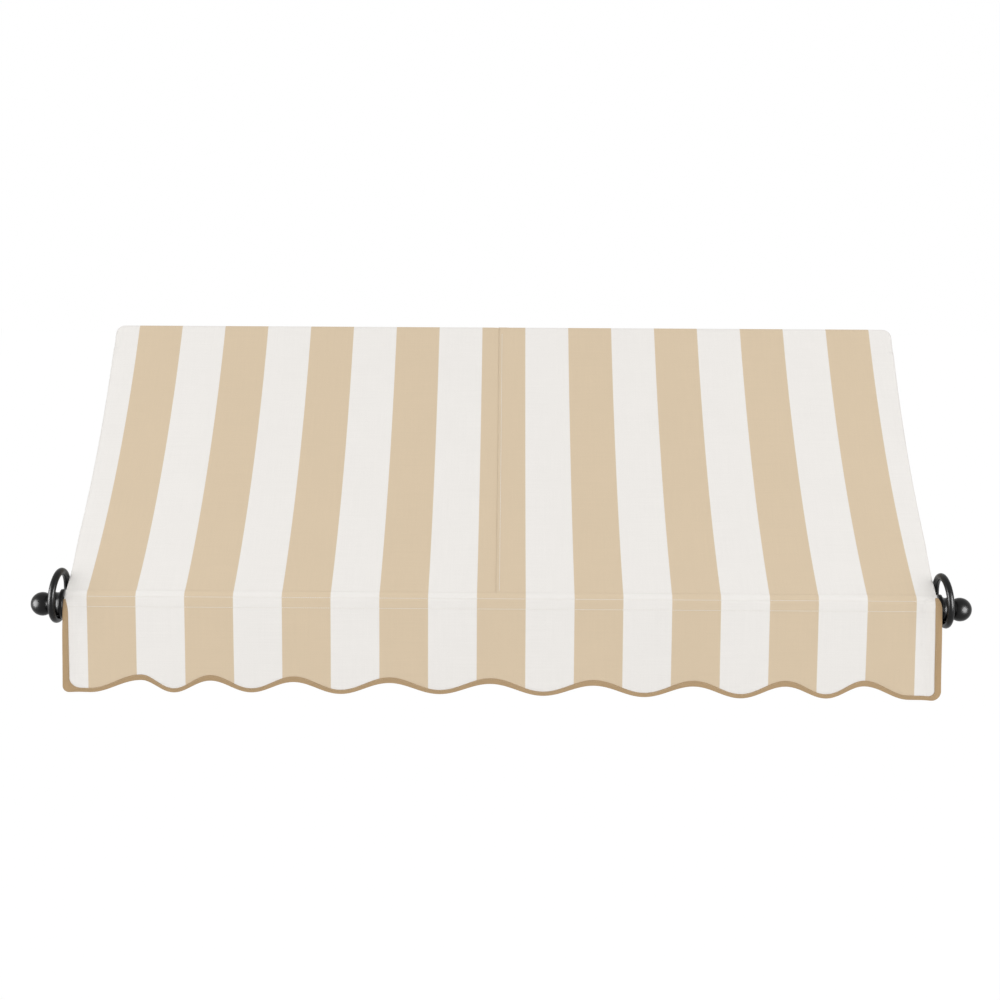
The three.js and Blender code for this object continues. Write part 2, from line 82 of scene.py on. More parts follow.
# One material or world. node() sets a node up first and then feeds its sockets with values or wires
class Paint:
    def __init__(self, name, kind="materials", shader="Principled BSDF", **constants):
        self.owner = getattr(bpy.data, kind).new(name)
        self.owner.use_nodes = True
        self.tree = self.owner.node_tree
        self.shader = self.tree.nodes[shader]
        self.feed(self.shader, constants)

    def feed(self, node, values):
        for key, value in values.items():
            socket = node.inputs[key]
            if isinstance(value, Wire):
                self.tree.links.new(value.socket, socket)
            else:
                socket.default_value = value

    def node(self, kind, settings, values, output=0):
        made = self.tree.nodes.new(kind)
        for key, value in settings.items():
            setattr(made, key, value)
        self.feed(made, values)
        return Wire(self, made.outputs[output])

    def math(self, operation, *values):
        return self.node("ShaderNodeMath", {"operation": operation}, dict(enumerate(values)))

    def clamped(self, value):
        return self.node("ShaderNodeClamp", {}, {0: value})

    def mix(self, factor, first, second):
        return self.node("ShaderNodeMix", {"data_type": "RGBA"}, {0: factor, 6: first, 7: second}, 2)

    def scaled(self, colour, amount):
        return self.node("ShaderNodeVectorMath", {"operation": "SCALE"}, {0: colour, "Scale": amount})

    def joined(self, x, y):
        return self.node("ShaderNodeCombineXYZ", {}, {0: x, 1: y})

    def noise(self, vector, scale, detail=2.0):
        return self.node("ShaderNodeTexNoise", {}, {"Vector": vector, "Scale": scale, "Detail": detail})

    def clothMap(self):
        place = self.node("ShaderNodeUVMap", {"uv_map": mapName}, {})
        split = self.node("ShaderNodeSeparateXYZ", {}, {0: place}).socket.node
        return Wire(self, split.outputs[0]), Wire(self, split.outputs[1])

    # noise on the cloth's own map, with a grain of so many a metre each way
    def grain(self, across, along, grain, detail):
        return self.noise(self.joined(across * grain[0], along * grain[1]), 1.0, detail)

    def bump(self, height, distance, strength):
        return self.node("ShaderNodeBump", {}, {"Height": height, "Distance": distance, "Strength": strength})

    def objectPlace(self):
        return self.node("ShaderNodeTexCoord", {}, {}, 3)


# Striped cloth, yarn dyed, so both faces look the same
stripes = {
    "pitch": 0.16873,  # one beige and one white stripe
    "offset": 0.0012,  # middle of the centre stripe
    "edge": 0.0006,  # width over which a stripe's edge changes colour
    "wander": 0.0006,  # how far yarns carry that edge to and fro
    "wanderGrain": (900.0, 900.0),
    "beige": (0.680, 0.553, 0.397, 1),
    "white": (0.842, 0.818, 0.787, 1),
    "yarn": 0.00058,
    "yarnGrain": (700.0, 9.0),
    "pickGrain": (9.0, 600.0),
    "cloudGrain": (7.0, 7.0),
    "streak": 0.05,  # how much yarns differ in shade
    "mottle": 0.03,
    "over": 0.03,  # shade of one yarn over another
    "rough": (0.82, 0.12),  # and what yarns add
    "relief": 0.00012,  # height of the weave
    "stitchPitch": 0.0040,
    "pucker": 2.2,  # how deep a row of stitches draws the cloth in, against the weave
    "puckerWidth": 0.0021,
}


# Rows are the places of the stitch rows: along the cloth, or across it for rows that run with the stripes
def stripedCloth(name, rows=(), withStripes=False):
    paint = Paint(name, **{"Specular IOR Level": 0.0, "Sheen Weight": 0.08, "Sheen Roughness": 0.45})
    across, along = paint.clothMap()
    # distance from the middle of the nearest beige stripe, in pitches
    wander = paint.grain(across, along, stripes["wanderGrain"], 0.0) * stripes["wander"]
    turns = (across + wander - stripes["offset"]) / stripes["pitch"] + 100.5  # well above zero
    away = (turns.math("FRACT") - 0.5).math("ABSOLUTE")
    beige = paint.clamped((0.25 - away) * (stripes["pitch"] / stripes["edge"]) + 0.5)
    # plain weave: warp and weft waves, one over the other in turn
    warp = (across * (math.pi / stripes["yarn"])).math("SINE")
    weft = (along * (math.pi / stripes["yarn"])).math("SINE")
    crossing = warp * weft
    yarns = paint.grain(across, along, stripes["yarnGrain"], 3.0)
    picks = paint.grain(across, along, stripes["pickGrain"], 2.0)
    cloud = paint.grain(across, along, stripes["cloudGrain"], 3.0)
    shade = 1.0 + (yarns + picks - 1.0) * stripes["streak"] + (cloud - 0.5) * stripes["mottle"]
    shade = shade + crossing * stripes["over"]
    colour = paint.mix(beige, stripes["white"], stripes["beige"])
    height = crossing.math("ABSOLUTE") + yarns * 0.6 + picks * 0.4
    over, down = (across, along) if withStripes else (along, across)
    # deepest at each stitch, a third as deep between
    drawnIn = ((down * (2 * math.pi / stripes["stitchPitch"])).math("COSINE") + 2.0) * (stripes["pucker"] / 3)
    for row in rows:
        away = (over - row) / stripes["puckerWidth"]
        height = height - (away * away * -1.0).math("EXPONENT") * drawnIn
    paint.feed(paint.shader, {
        "Base Color": paint.scaled(colour, shade),
        "Roughness": stripes["rough"][0] + yarns * stripes["rough"][1],
        "Normal": paint.bump(height, stripes["relief"], 0.6),
    })
    return paint.owner


# Binding tape: close ribs across a narrow tan tape, with painted shade in the grooves between the ribs
tapeLook = {
    "tan": (0.455, 0.318, 0.184),
    "rib": 0.0011,
    "ribPaintedShade": 0.10,
    "yarnGrain": (1800.0, 30.0),
    "cloudGrain": (28.0, 14.0),
    "streak": 0.16,
    "mottle": 0.10,
    "rough": (0.72, 0.15),  # and what yarns add
    "relief": 0.00016,
}


def bindingTape():
    paint = Paint("bindingTape", **{"Specular IOR Level": 0.0, "Sheen Weight": 0.06, "Sheen Roughness": 0.4})
    across, along = paint.clothMap()
    rib = (along * (math.pi / tapeLook["rib"])).math("SINE").math("ABSOLUTE")
    yarns = paint.grain(across, along, tapeLook["yarnGrain"], 2.0)
    cloud = paint.grain(across, along, tapeLook["cloudGrain"], 3.0)
    shade = 1.0 + (yarns - 0.5) * tapeLook["streak"] + (cloud - 0.5) * tapeLook["mottle"]
    # painted shade: the colour follows the ribs, darker in the grooves between them and lighter on their crests
    shade = shade + (rib - 0.6) * tapeLook["ribPaintedShade"]
    paint.feed(paint.shader, {
        "Base Color": paint.scaled(tapeLook["tan"], shade),
        "Roughness": tapeLook["rough"][0] + yarns * tapeLook["rough"][1],
        "Normal": paint.bump(rib + yarns * 0.5, tapeLook["relief"], 0.7),
    })
    return paint.owner


# Sewing thread: a twisted cord, its strands running round it, with painted shade between the strands
def sewingThread(name, colour):
    paint = Paint(name, **{"Specular IOR Level": 0.05})
    across, along = paint.clothMap()
    twist = ((across * 1.0 + along * 2.0) * (2 * math.pi)).math("SINE")
    fuzz = paint.noise(paint.objectPlace(), 900.0, 1.0)
    paint.feed(paint.shader, {
        # painted shade: the twist darkens the colour in the grooves between the strands and lightens their crests
        "Base Color": paint.scaled(colour, 0.92 + twist * 0.06 + fuzz * 0.10),
        "Roughness": 0.55 + fuzz * 0.2,
        "Normal": paint.bump(twist, 0.00005, 0.6),
    })
    return paint.owner


# Black satin coat on steel: fine orange peel and cloudy changes of shade
def blackCoat():
    paint = Paint("blackCoat", **{"Metallic": 0.0, "Specular IOR Level": 0.17})
    place = paint.objectPlace()
    peel = paint.noise(place, 620.0, 3.0)
    cloud = paint.noise(place, 45.0, 3.0)
    paint.feed(paint.shader, {
        "Base Color": paint.mix(cloud, (0.0035, 0.0035, 0.0037, 1), (0.0062, 0.0062, 0.0065, 1)),
        "Roughness": 0.23 + cloud * 0.10 + peel * 0.05,
        "Normal": paint.bump(peel, 0.00004, 0.3),
    })
    return paint.owner


# Zinc plated steel: cool grey with soft crystal patches
def zincPlate():
    paint = Paint("zincPlate", Metallic=1.0)
    place = paint.objectPlace()
    patches = paint.node("ShaderNodeTexVoronoi", {"feature": "F1"}, {"Vector": place, "Scale": 420.0})
    cloud = paint.noise(place, 160.0, 3.0)
    paint.feed(paint.shader, {
        "Base Color": paint.mix(cloud, (0.46, 0.47, 0.49, 1), (0.62, 0.62, 0.62, 1)),
        "Roughness": 0.30 + patches * 0.12 + cloud * 0.1,
        "Normal": paint.bump(cloud, 0.00004, 0.3),
    })
    return paint.owner


# Moulded black plastic of the bar plugs
def blackMoulding():
    paint = Paint("blackMoulding")
    place = paint.objectPlace()
    grain = paint.noise(place, 1500.0, 2.0)
    cloud = paint.noise(place, 60.0, 2.0)
    paint.feed(paint.shader, {
        "Base Color": paint.mix(cloud, (0.013, 0.013, 0.013, 1), (0.02, 0.02, 0.02, 1)),
        "Roughness": 0.5 + grain * 0.2,
        "Normal": paint.bump(grain, 0.00005, 0.5),
    })
    return paint.owner


tapeFinish = bindingTape()
whiteThread = sewingThread("whiteThread", (0.86, 0.83, 0.79))
tanThread = sewingThread("tanThread", (0.52, 0.40, 0.26))
coatLook = blackCoat()
zincLook = zincPlate()
mouldLook = blackMoulding()
print("finishes made")


# The four corners of each cell of a grid, in turn
def cells(grid):
    return np.stack([grid[:-1, :-1], grid[:-1, 1:], grid[1:, 1:], grid[1:, :-1]], axis=2)


# A grid of points, rows by columns, as quads; a closed direction joins its last line to its first.
# uv has a line more in a closed direction, and keep says which cells stay.
def patch(points, uv=None, closeRows=False, closeColumns=False, keep=None, flip=False):
    index = np.arange(points.shape[0] * points.shape[1]).reshape(points.shape[:2])
    if closeRows:
        index = np.vstack([index, index[:1]])
    if closeColumns:
        index = np.hstack([index, index[:, :1]])
    if uv is None:
        uv = np.zeros(index.shape + (2,))
    quads, corners = cells(index).reshape(-1, 4), cells(uv).reshape(-1, 4, 2)
    if keep is not None:
        quads, corners = quads[keep.ravel()], corners[keep.ravel()]
    if flip:
        quads, corners = quads[:, ::-1], corners[:, ::-1]
    return points.reshape(-1, 3), quads, corners


# Patches put into one mesh object at the origin; weld merges poles and doubles and turns faces outwards
def makePiece(name, patches, material, slot, replaced=(), weld=False):
    starts = np.cumsum([0] + [len(points) for points, _, _ in patches])
    points = np.concatenate([p[0] for p in patches])
    quads = np.concatenate([p[1] + start for p, start in zip(patches, starts)])
    corners = np.concatenate([p[2] for p in patches])
    mesh = bpy.data.meshes.new(name)
    mesh.from_pydata(points, [], quads)
    mesh.uv_layers.new(name=mapName).uv.foreach_set("vector", corners.astype(np.float32).ravel())
    work = bmesh.new()
    work.from_mesh(mesh)
    if weld:
        bmesh.ops.remove_doubles(work, verts=work.verts, dist=1e-7)
        bmesh.ops.dissolve_degenerate(work, edges=work.edges, dist=1e-7)
        bmesh.ops.recalc_face_normals(work, faces=work.faces)
    loose = [v for v in work.verts if not v.link_faces]
    bmesh.ops.delete(work, geom=loose, context="VERTS")
    work.to_mesh(mesh)
    work.free()
    mesh.shade_smooth()
    return addPiece(name, mesh, material, slot, replaced)


def addPiece(name, mesh, material, slot, replaced):
    mesh.materials.clear()
    mesh.materials.append(material)
    piece = bpy.data.objects.new(name, mesh)
    bpy.context.scene.collection.objects.link(piece)
    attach(piece, "root")
    if replaced:
        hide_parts(*replaced)
    return piece


def thicken(piece, thickness):
    wall = piece.modifiers.new("thickness", "SOLIDIFY")
    wall.thickness = thickness
    wall.offset = 0
    wall.use_even_offset = True


# Values from one break to the next in even steps, none longer than step
def stations(breaks, step):
    runs = [np.linspace(a, b, max(2, math.ceil((b - a) / step) + 1)) for a, b in zip(breaks, breaks[1:])]
    return np.unique(np.concatenate(runs).round(7))


# 0 before start and 1 after end, with level ends
def smooth(value, start, end):
    t = np.clip((value - start) / (end - start), 0, 1)
    return t * t * (3 - 2 * t)


def arc(centre, radius, start, end, count):
    angle = np.linspace(start, end, count)
    return np.stack([centre[0] + radius * np.cos(angle), centre[1] + radius * np.sin(angle)], axis=1)


# Bernstein sum of the control points
def bezier(controls, count):
    t = np.linspace(0, 1, count)[:, None]
    n = len(controls) - 1
    return sum(math.comb(n, k) * (1 - t) ** (n - k) * t**k * np.asarray(p) for k, p in enumerate(controls))


def aim(angle):
    return np.array([math.cos(angle), math.sin(angle)])


# Each vector over its length
def unit(vectors):
    return vectors / np.linalg.norm(vectors, axis=-1, keepdims=True)


# Across a line in its plane
def normals(line):
    tangent = unit(np.gradient(line, axis=0))
    return np.stack([-tangent[:, 1], tangent[:, 0]], axis=1)


# Length run along a line of points
def runLength(line):
    return np.concatenate([[0], np.cumsum(np.linalg.norm(np.diff(line, axis=0), axis=1))])


# Places of the bars and edges, from the frame
def barAxis(node):
    low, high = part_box(node)
    return np.array([low.y + high.y, low.z + high.z]) / 2


headAxis, frontAxis = barAxis("head_bar"), barAxis("front_bar")
barRadius = (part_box("front_bar")[1].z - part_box("front_bar")[0].z) / 2
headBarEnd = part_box("head_bar")[1].x
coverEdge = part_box("cover_panel_right")[1].x
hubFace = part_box("front_hub_right")[0].x
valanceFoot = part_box("valance")[0].z
hookPlaces = [sum(c.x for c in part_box(f"head_hook_{p}")) / 2 for p in ("left", "centre", "right")]

# Cover: the slope, its hem round the head bar and its lap on the front bar
cover = {
    "cloth": 0.0006,
    "sag": 0.0345,  # below a straight line, at mid span
    "foldRise": 0.011,  # the fold over the front bar stands off its top
    "hubClear": 0.0025,  # edge of the slope to the hub
    "tuck": 0.0035,  # the edges are pulled in beside the rings
    "tuckFrom": 0.028,
    "tuckTo": 0.150,
    "hemLayer": 0.0008,  # middle of the hem's cloth above the bar
    "layer": 0.0013,  # from one layer of cloth to the next
    "hemReach": 0.060,
    "hemFlap": 0.020,
    "hemLeave": -75,  # degrees round the head bar
    "lapBelow": 0.004,  # past the front bar's axis, under the valance
    "corner": 0.012,
    "step": 0.005,
    "notchHalf": 0.021,
    "notchReach": 0.030,
    "notchFrom": 10,
    "notchTo": -150,
    "lap": (-0.0090, 0.0036),  # the centre seam's two cloth edges
    "lapRise": 0.00031,
    "lapFade": {1: (0.004, 0.012), -1: (0.0135, 0.021)},  # each panel lies level again past the seam
    "seamColumns": (0.006, 0.0125),
    "edgeBand": 0.030,  # the part of the width that takes up the taper
    "droop": 0.0035,  # of the hem past the bar's ends
    "edgeCurl": 0.0022,
    "curlWidth": 0.022,
    "swell": 0.0011,  # faint unevenness of the slope
    "waves": ((9.1, 0.7), (5.0, 2.3), (23.0, 3.1)),  # across, down the slope, and ripples
    "seamRows": (-0.0026,),
    "points": {"lap": 8, "fold": 14, "slope": 150, "hem": 40, "bridge": 26, "flap": 6},
    "droopRows": (12, 10),  # before the hem and after it
}
hemRadius = barRadius + cover["hemLayer"]
coverRadius = hemRadius + cover["layer"]
valanceRadius = coverRadius + cover["layer"]
frontEdge = hubFace - cover["hubClear"]

foldCentre = frontAxis + [0, cover["foldRise"]]
chord = foldCentre - headAxis
chordAngle = math.atan2(chord[1], chord[0]) % (2 * math.pi)
sagAngle = math.atan(4 * cover["sag"] / np.linalg.norm(chord))
headTangent = chordAngle + sagAngle - quarterTurn
frontTangent = chordAngle - sagAngle - quarterTurn
leaveHead = headAxis + hemRadius * aim(headTangent)
meetFront = foldCentre + coverRadius * aim(frontTangent)
headRun, frontRun = aim(headTangent + quarterTurn), aim(frontTangent + quarterTurn)
gap = meetFront - leaveHead
reach = (gap[0] * frontRun[1] - gap[1] * frontRun[0]) / (headRun[0] * frontRun[1] - headRun[1] * frontRun[0])
slopeControls = [meetFront, leaveHead + headRun * reach, leaveHead]


# Side profile in (y, z): lap and fold in front of the front bar, slope as a parabola tangent to the fold and
# the head bar, hem round the head bar, and the hem's flap under the slope
def coverProfile():
    count = cover["points"]
    slope = bezier(slopeControls, count["slope"])
    fromHead = runLength(slope)[-1] - runLength(slope)
    under = slope - normals(slope) * cover["layer"]
    pick = lambda far: np.array([np.interp(far, fromHead[::-1], under[::-1, k]) for k in (0, 1)])
    flapStart, flapEnd = pick(cover["hemReach"]), pick(cover["hemReach"] + cover["hemFlap"])
    leave = math.radians(cover["hemLeave"])
    leavePoint = headAxis + hemRadius * aim(leave)
    pull = cover["hemReach"] / 4
    back = unit(flapStart - flapEnd)
    lapFrom = [foldCentre[0] - coverRadius, frontAxis[1] - cover["lapBelow"]]
    lapFold = arc(foldCentre, coverRadius, math.pi, frontTangent, count["fold"])
    lap = np.concatenate([np.linspace(lapFrom, lapFold[0], count["lap"])[:-1], lapFold])
    hem = arc(headAxis, hemRadius, headTangent, leave, count["hem"])
    pulled = leavePoint + aim(leave - quarterTurn) * pull, flapStart + back * pull
    bridge = bezier([leavePoint, *pulled, flapStart], count["bridge"])
    flap = np.linspace(flapStart, flapEnd, count["flap"])
    line = np.concatenate([lap, slope[1:], hem[1:], bridge[1:], flap[1:]])
    onSlope = np.zeros(len(line))
    hemFrom = len(lap) + len(slope)
    onSlope[len(lap) - 1 : hemFrom - 1] = np.linspace(0, 1, len(slope))
    onSlope[hemFrom - 1 :] = 1
    onHem = np.zeros(len(line))
    before, after = cover["droopRows"]
    onHem[hemFrom - before : hemFrom + len(hem) + after] = 1
    return line, onSlope, onHem


coverLine, slopeShare, hemShare = coverProfile()
coverNormal = normals(coverLine)
coverRun = runLength(coverLine)


# Half the cover's width at each row: it narrows from head to front, most of it beside the rings, and its
# top corners are round
def coverHalf():
    y, z = coverLine.T
    taper = np.clip((y - frontAxis[0]) / (headAxis[0] - frontAxis[0]), 0, 1)
    wide = frontEdge + cover["tuck"] * smooth(y - frontAxis[0], cover["tuckFrom"], cover["tuckTo"])
    half = wide + (coverEdge - frontEdge - cover["tuck"]) * taper
    above = np.clip(z - (headAxis[1] + hemRadius + cover["cloth"] / 2 - cover["corner"]), 0, cover["corner"])
    return half - cover["corner"] + np.sqrt(cover["corner"] ** 2 - above**2)


# How far the cloth lies off its profile: long faint swells on the slope, side edges that curl down,
# the hem's ends that droop past the bar, and the two layers of the centre seam
def coverOffset(x, row, half, side):
    down = slopeShare[row]
    hang = np.sin(np.pi * down)
    (pace, start), (downPace, skew), (ripple, rippleSkew) = cover["waves"]
    swell = np.sin(x * pace + start) * np.sin(down * downPace + x * skew)
    swell = swell + 0.5 * np.sin(x * ripple + down * rippleSkew)
    curl = smooth(np.abs(x), half - cover["curlWidth"], half) ** 2
    droop = smooth(np.abs(x), headBarEnd, coverEdge) * hemShare[row]
    inLap = 1 - smooth(side * x, *cover["lapFade"][side])
    onSlope = (cover["swell"] * swell - cover["edgeCurl"] * curl) * hang
    return onSlope - cover["droop"] * droop + side * cover["lapRise"] * inLap


def coverGrid(side):
    seam = cover["lap"][0] if side > 0 else -cover["lap"][1]
    fixed = coverEdge - cover["edgeBand"]
    hook, notch = hookPlaces[2], cover["notchHalf"]
    breaks = [seam, *cover["seamColumns"], notch, hook - notch, hook + notch, fixed, coverEdge]
    column = stations(breaks, cover["step"])
    half = coverHalf()[:, None]
    squeezed = fixed + (column - fixed) * (half - fixed) / (coverEdge - fixed)
    x = np.where(column <= fixed, column, squeezed) * side
    row = np.arange(len(coverLine))[:, None]
    offset = coverOffset(x, row, half, side)
    y, z = (coverLine[:, k, None] + coverNormal[:, k, None] * offset for k in (0, 1))
    uv = np.stack([x, np.broadcast_to(coverRun[:, None], x.shape)], axis=2)
    # the hem is cut away round each hook: a sector behind and below the bar
    centre = lambda a: (a[:-1, :-1] + a[1:, 1:]) / 2
    dy, dz = centre(y) - headAxis[0], centre(z) - headAxis[1]
    angle = np.degrees(np.arctan2(dz, dy))
    sector = (angle < cover["notchFrom"]) & (angle > cover["notchTo"]) & (np.hypot(dy, dz) < cover["notchReach"])
    nearHook = np.min([np.abs(centre(x) - place) for place in hookPlaces], axis=0) < notch
    return patch(np.stack([x, y, z], axis=2), uv, keep=~(sector & nearHook), flip=side < 0)


coverPieces = {}
coverLook = stripedCloth("coverCloth", cover["seamRows"], withStripes=True)
for hand, side in sides.items():
    name, replaced = f"cover_cloth_{hand}", [f"cover_panel_{hand}"]
    coverPieces[hand] = makePiece(name, [coverGrid(side)], coverLook, "striped_cloth", replaced)
    thicken(coverPieces[hand], cover["cloth"])
print("cover cloth made")

# Valance: caught on the front bar, hanging to a wavy lower edge
valance = {
    "cloth": 0.0006,
    "lapUp": 0.001,  # how far its top edge runs up the slope
    "depth": (0.0198, 0.0028),  # of a scallop at the middle, and what the ends have more
    "pitch": 0.1797,  # of the widest scallop
    "taper": 0.22,  # radians a scallop, how fast the scallops narrow towards the ends
    "middle": (0.3, 0.038),  # crest number and place of the widest
    "lastCrest": 4,
    "runOut": {"left": 0.090, "right": 0.076},  # from the last crest to the level end
    "lowRight": 0.0035,  # the right half hangs this much lower
    "lowFrom": (0, 0.25),
    "ends": {  # what the ends are wider than the slope's front edge, at drops below the bar axis
        "left": ((-0.020, 0), (-0.013, 0.0016), (0.010, 0.0024), (0.048, 0.0041), (0.140, 0.0070)),
        "right": ((-0.022, 0), (-0.017, 0.0023), (-0.012, 0.0045), (-0.006, 0.0056), (0.150, 0.0090)),
    },
    "corner": {"left": 0.011, "right": 0.017},
    "step": 0.005,
    "foldStep": 0.0016,
    "rows": 34,
    "endShare": 0.96,  # of the half width, past which columns lean with the ends
    "curlStart": 0.026,  # the ends stand forward of the hub flanges, over this width
    "curlEnd": 0.001,  # full this far before them
    "curlLoss": (0.4, 0.030, 0.130),  # and what they lose of that, between two drops
    "curl": {"left": 0.0078, "right": 0.0118},
    "curlFrom": {"left": (-0.018, 0.006), "right": (-0.027, -0.009)},
    "flutter": 0.0045,
    "waves": ((0.6, 17.8, 0.4), (0.4, 35.6, 1.3), (0.5, 6.1, 2.0)),  # share, pace and start
    "upperRow": 0.0168,  # of stitches, above the bar's axis along the cloth
    "rowGap": 0.0178,
}
valanceDrop = frontAxis[1] - valanceFoot
wrap = valanceRadius * (math.pi - frontTangent)
wrapEnd = valance["lapUp"] + wrap
barRow = wrapEnd + cover["foldRise"]  # run from the top edge to the level of the bar's axis


# Point and normal in (y, z) at a run from the top edge: straight down the slope, round the fold, then plumb
def valanceLine(run):
    lapStart = foldCentre + valanceRadius * aim(frontTangent) - frontRun * valance["lapUp"]
    angle = frontTangent + np.clip(run - valance["lapUp"], 0, wrap) / valanceRadius
    onLap = np.minimum(run, valance["lapUp"])
    plumb = np.maximum(run - wrapEnd, 0)
    y = lapStart[0] + frontRun[0] * onLap + valanceRadius * (np.cos(angle) - math.cos(frontTangent))
    z = lapStart[1] + frontRun[1] * onLap + valanceRadius * (np.sin(angle) - math.sin(frontTangent)) - plumb
    return y, z, np.cos(angle), np.sin(angle)


# Height of the lower edge above the lowest: a cosine whose crest k stands at m + pitch sin((k - c) t) / t,
# t being the taper; past the last crest it runs out to a level end
def scallop(x):
    taper, last = valance["taper"], valance["lastCrest"]
    c, m = valance["middle"]
    scale = valance["pitch"] / taper
    k = c + np.arcsin(np.clip((x - m) / scale, -1, 1)) / taper
    firstCrest, endCrest = (m + scale * math.sin((crest - c) * taper) for crest in (-last, last))
    k = np.where(x < firstCrest, -last - 0.5 * np.minimum((firstCrest - x) / valance["runOut"]["left"], 1), k)
    k = np.where(x > endCrest, last + 0.5 * np.minimum((x - endCrest) / valance["runOut"]["right"], 1), k)
    depth = valance["depth"][0] + valance["depth"][1] * (x / coverEdge) ** 2
    return depth * (1 + np.cos(2 * np.pi * k)) / 2


# How far the cloth stands off that line at (x, drop below the bar axis): ends curled forward in front of
# the hubs, and a slow flutter that grows towards the lower edge
def valanceOffset(x, drop):
    curl = smooth(np.abs(x), hubFace - valance["curlStart"], hubFace - valance["curlEnd"])
    loss, *between = valance["curlLoss"]
    hold = 1 - loss * smooth(drop, *between)
    left, right = (valance["curl"][hand] * smooth(drop, *valance["curlFrom"][hand]) for hand in sides)
    free = np.clip(drop / valanceDrop, 0, 1) ** 1.5
    wave = sum(share * np.sin(x * pace + start) for share, pace, start in valance["waves"])
    return np.where(x < 0, left, right) * curl * hold + valance["flutter"] * wave * free


def valancePoint(x, run, lift=0.0):
    y, z, ny, nz = valanceLine(run)
    offset = valanceOffset(x, run - barRow) + lift
    return np.stack([x + 0 * y, y + ny * offset, z + nz * offset], axis=-1)


# Drop of the lower edge below the bar axis
def valanceLow(x):
    return valanceDrop + valance["lowRight"] * smooth(x, *valance["lowFrom"]) - scallop(x)


# Half the width at a drop below the bar axis, for one end
def valanceHalf(drop, hand):
    return frontEdge + np.interp(drop, *np.array(valance["ends"][hand]).T)


valanceEnd = {hand: float(valanceHalf(valanceDrop, hand)) for hand in sides}


def valanceGrid():
    part = valance["endShare"]
    share = stations([-1, -part, part, 1], valance["step"] / coverEdge)
    byHand = lambda values: np.where(share < 0, values["left"], values["right"])
    lower, end = byHand(valance["corner"]), byHand(valanceEnd)
    x = share * end
    inCorner = np.clip(np.abs(x) - (end - lower), 0, lower)
    foot = valanceLow(x) - (lower - np.sqrt(lower**2 - inCorner**2))
    top = stations([0, valance["lapUp"], wrapEnd, barRow], valance["foldStep"])
    down = np.linspace(0, 1, valance["rows"])[1:]
    onBar = np.broadcast_to(top[:, None], (len(top), len(x)))
    run = np.concatenate([onBar, barRow + down[:, None] * foot], axis=0)
    half = byHand({hand: valanceHalf(run - barRow, hand) for hand in sides})
    outer = part * end + (np.abs(share) - part) / (1 - part) * (half - part * end)
    x = np.where(np.abs(share) > part, np.sign(share) * outer, x)
    return patch(valancePoint(x, run), np.stack([x, run], axis=2), flip=True)


stitchRows = [barRow - valance["upperRow"], barRow - valance["upperRow"] + valance["rowGap"]]
valanceLook = stripedCloth("valanceCloth", stitchRows)
valanceCloth = makePiece("valance_cloth", [valanceGrid()], valanceLook, "striped_cloth", ["valance"])
thicken(valanceCloth, valance["cloth"])
print("valance made")

# Binding tape folded over the valance's ends and lower edge
tape = {
    "thickness": 0.0005,
    "clear": 0.00068,  # middle of the valance to the middle of the tape
    "pad": 0.00025,  # the tape's faces are slightly full
    "back": 0.0095,
    "top": {"left": -0.012, "right": -0.0215},
    "widths": {  # front width at a drop below the bar axis
        "left": ((-0.012, 0.0030), (0.000, 0.0070), (0.010, 0.0083), (0.048, 0.0098), (0.125, 0.0112)),
        "right": ((-0.0215, 0.0036), (-0.0195, 0.0058), (-0.017, 0.0071), (-0.012, 0.0095), (-0.006, 0.0106),
                  (0.125, 0.0108)),
    },
    "crest": 0.0092,
    "trough": 0.0068,
    "corner": {"left": 0.020, "right": 0.011},  # of the inner edge
    "points": {"end": 66, "corner": 14, "low": 620, "flap": 9, "fold": 9},
}


# A line inside the valance's edge as (x, drop): down the left end, round its corner, along the scallops and
# up the right end. Every such line has as many points, so lines can be joined point by point.
def tapeLine(endWidth, lowWidth, corners):
    parts, count = {}, tape["points"]
    for hand, side in sides.items():
        radius, top = corners[hand], tape["top"][hand]
        half = valanceEnd[hand]
        last = endWidth(hand, valanceDrop)
        level = side * (half - last - radius)
        foot = valanceLow(level) - lowWidth(level)
        drop = np.linspace(top, foot - radius, count["end"])
        straight = np.stack([side * (valanceHalf(drop, hand) - endWidth(hand, drop)), drop], axis=1)
        turn = arc((level, foot - radius), radius, quarterTurn * (1 - side), quarterTurn, count["corner"])
        parts[hand] = np.concatenate([straight, turn[1:-1]]), level
    (left, first), (right, last) = parts["left"], parts["right"]
    x = np.linspace(first, last, count["low"])
    lower = np.stack([x, valanceLow(x) - lowWidth(x)], axis=1)
    return np.concatenate([left, lower, right[::-1]])


def frontEndWidth(hand, drop):
    return np.interp(drop, *np.array(tape["widths"][hand]).T)


# Wider over the crests than over the troughs
def frontLowWidth(x):
    return tape["trough"] + (tape["crest"] - tape["trough"]) * scallop(x) / valance["depth"][0]


tapeEdge = tapeLine(lambda hand, drop: 0 * drop, lambda x: 0 * x, valance["corner"])
tapeInner = {
    1: tapeLine(frontEndWidth, frontLowWidth, tape["corner"]),
    -1: tapeLine(lambda hand, drop: tape["back"] + 0 * drop, lambda x: tape["back"] + 0 * x, tape["corner"]),
}
tapeRun = runLength(tapeEdge)
tapeFront = np.linalg.norm(tapeInner[1] - tapeEdge, axis=1)


# Points on one face, at a share of the way from the valance's edge to the tape's inner edge
def tapeFace(face, share, height):
    place = tapeEdge[:, None, :] + (tapeInner[face] - tapeEdge)[:, None, :] * share[:, None]
    return valancePoint(place[..., 0], place[..., 1] + barRow, face * height)


# The fold: half a circle just outside the edge
def tapeFold(angle):
    outwards = unit(tapeEdge - tapeInner[1])
    place = tapeEdge[:, None, :] + outwards[:, None, :] * (tape["clear"] * np.cos(angle))[:, None]
    return valancePoint(place[..., 0], place[..., 1] + barRow, tape["clear"] * np.sin(angle))


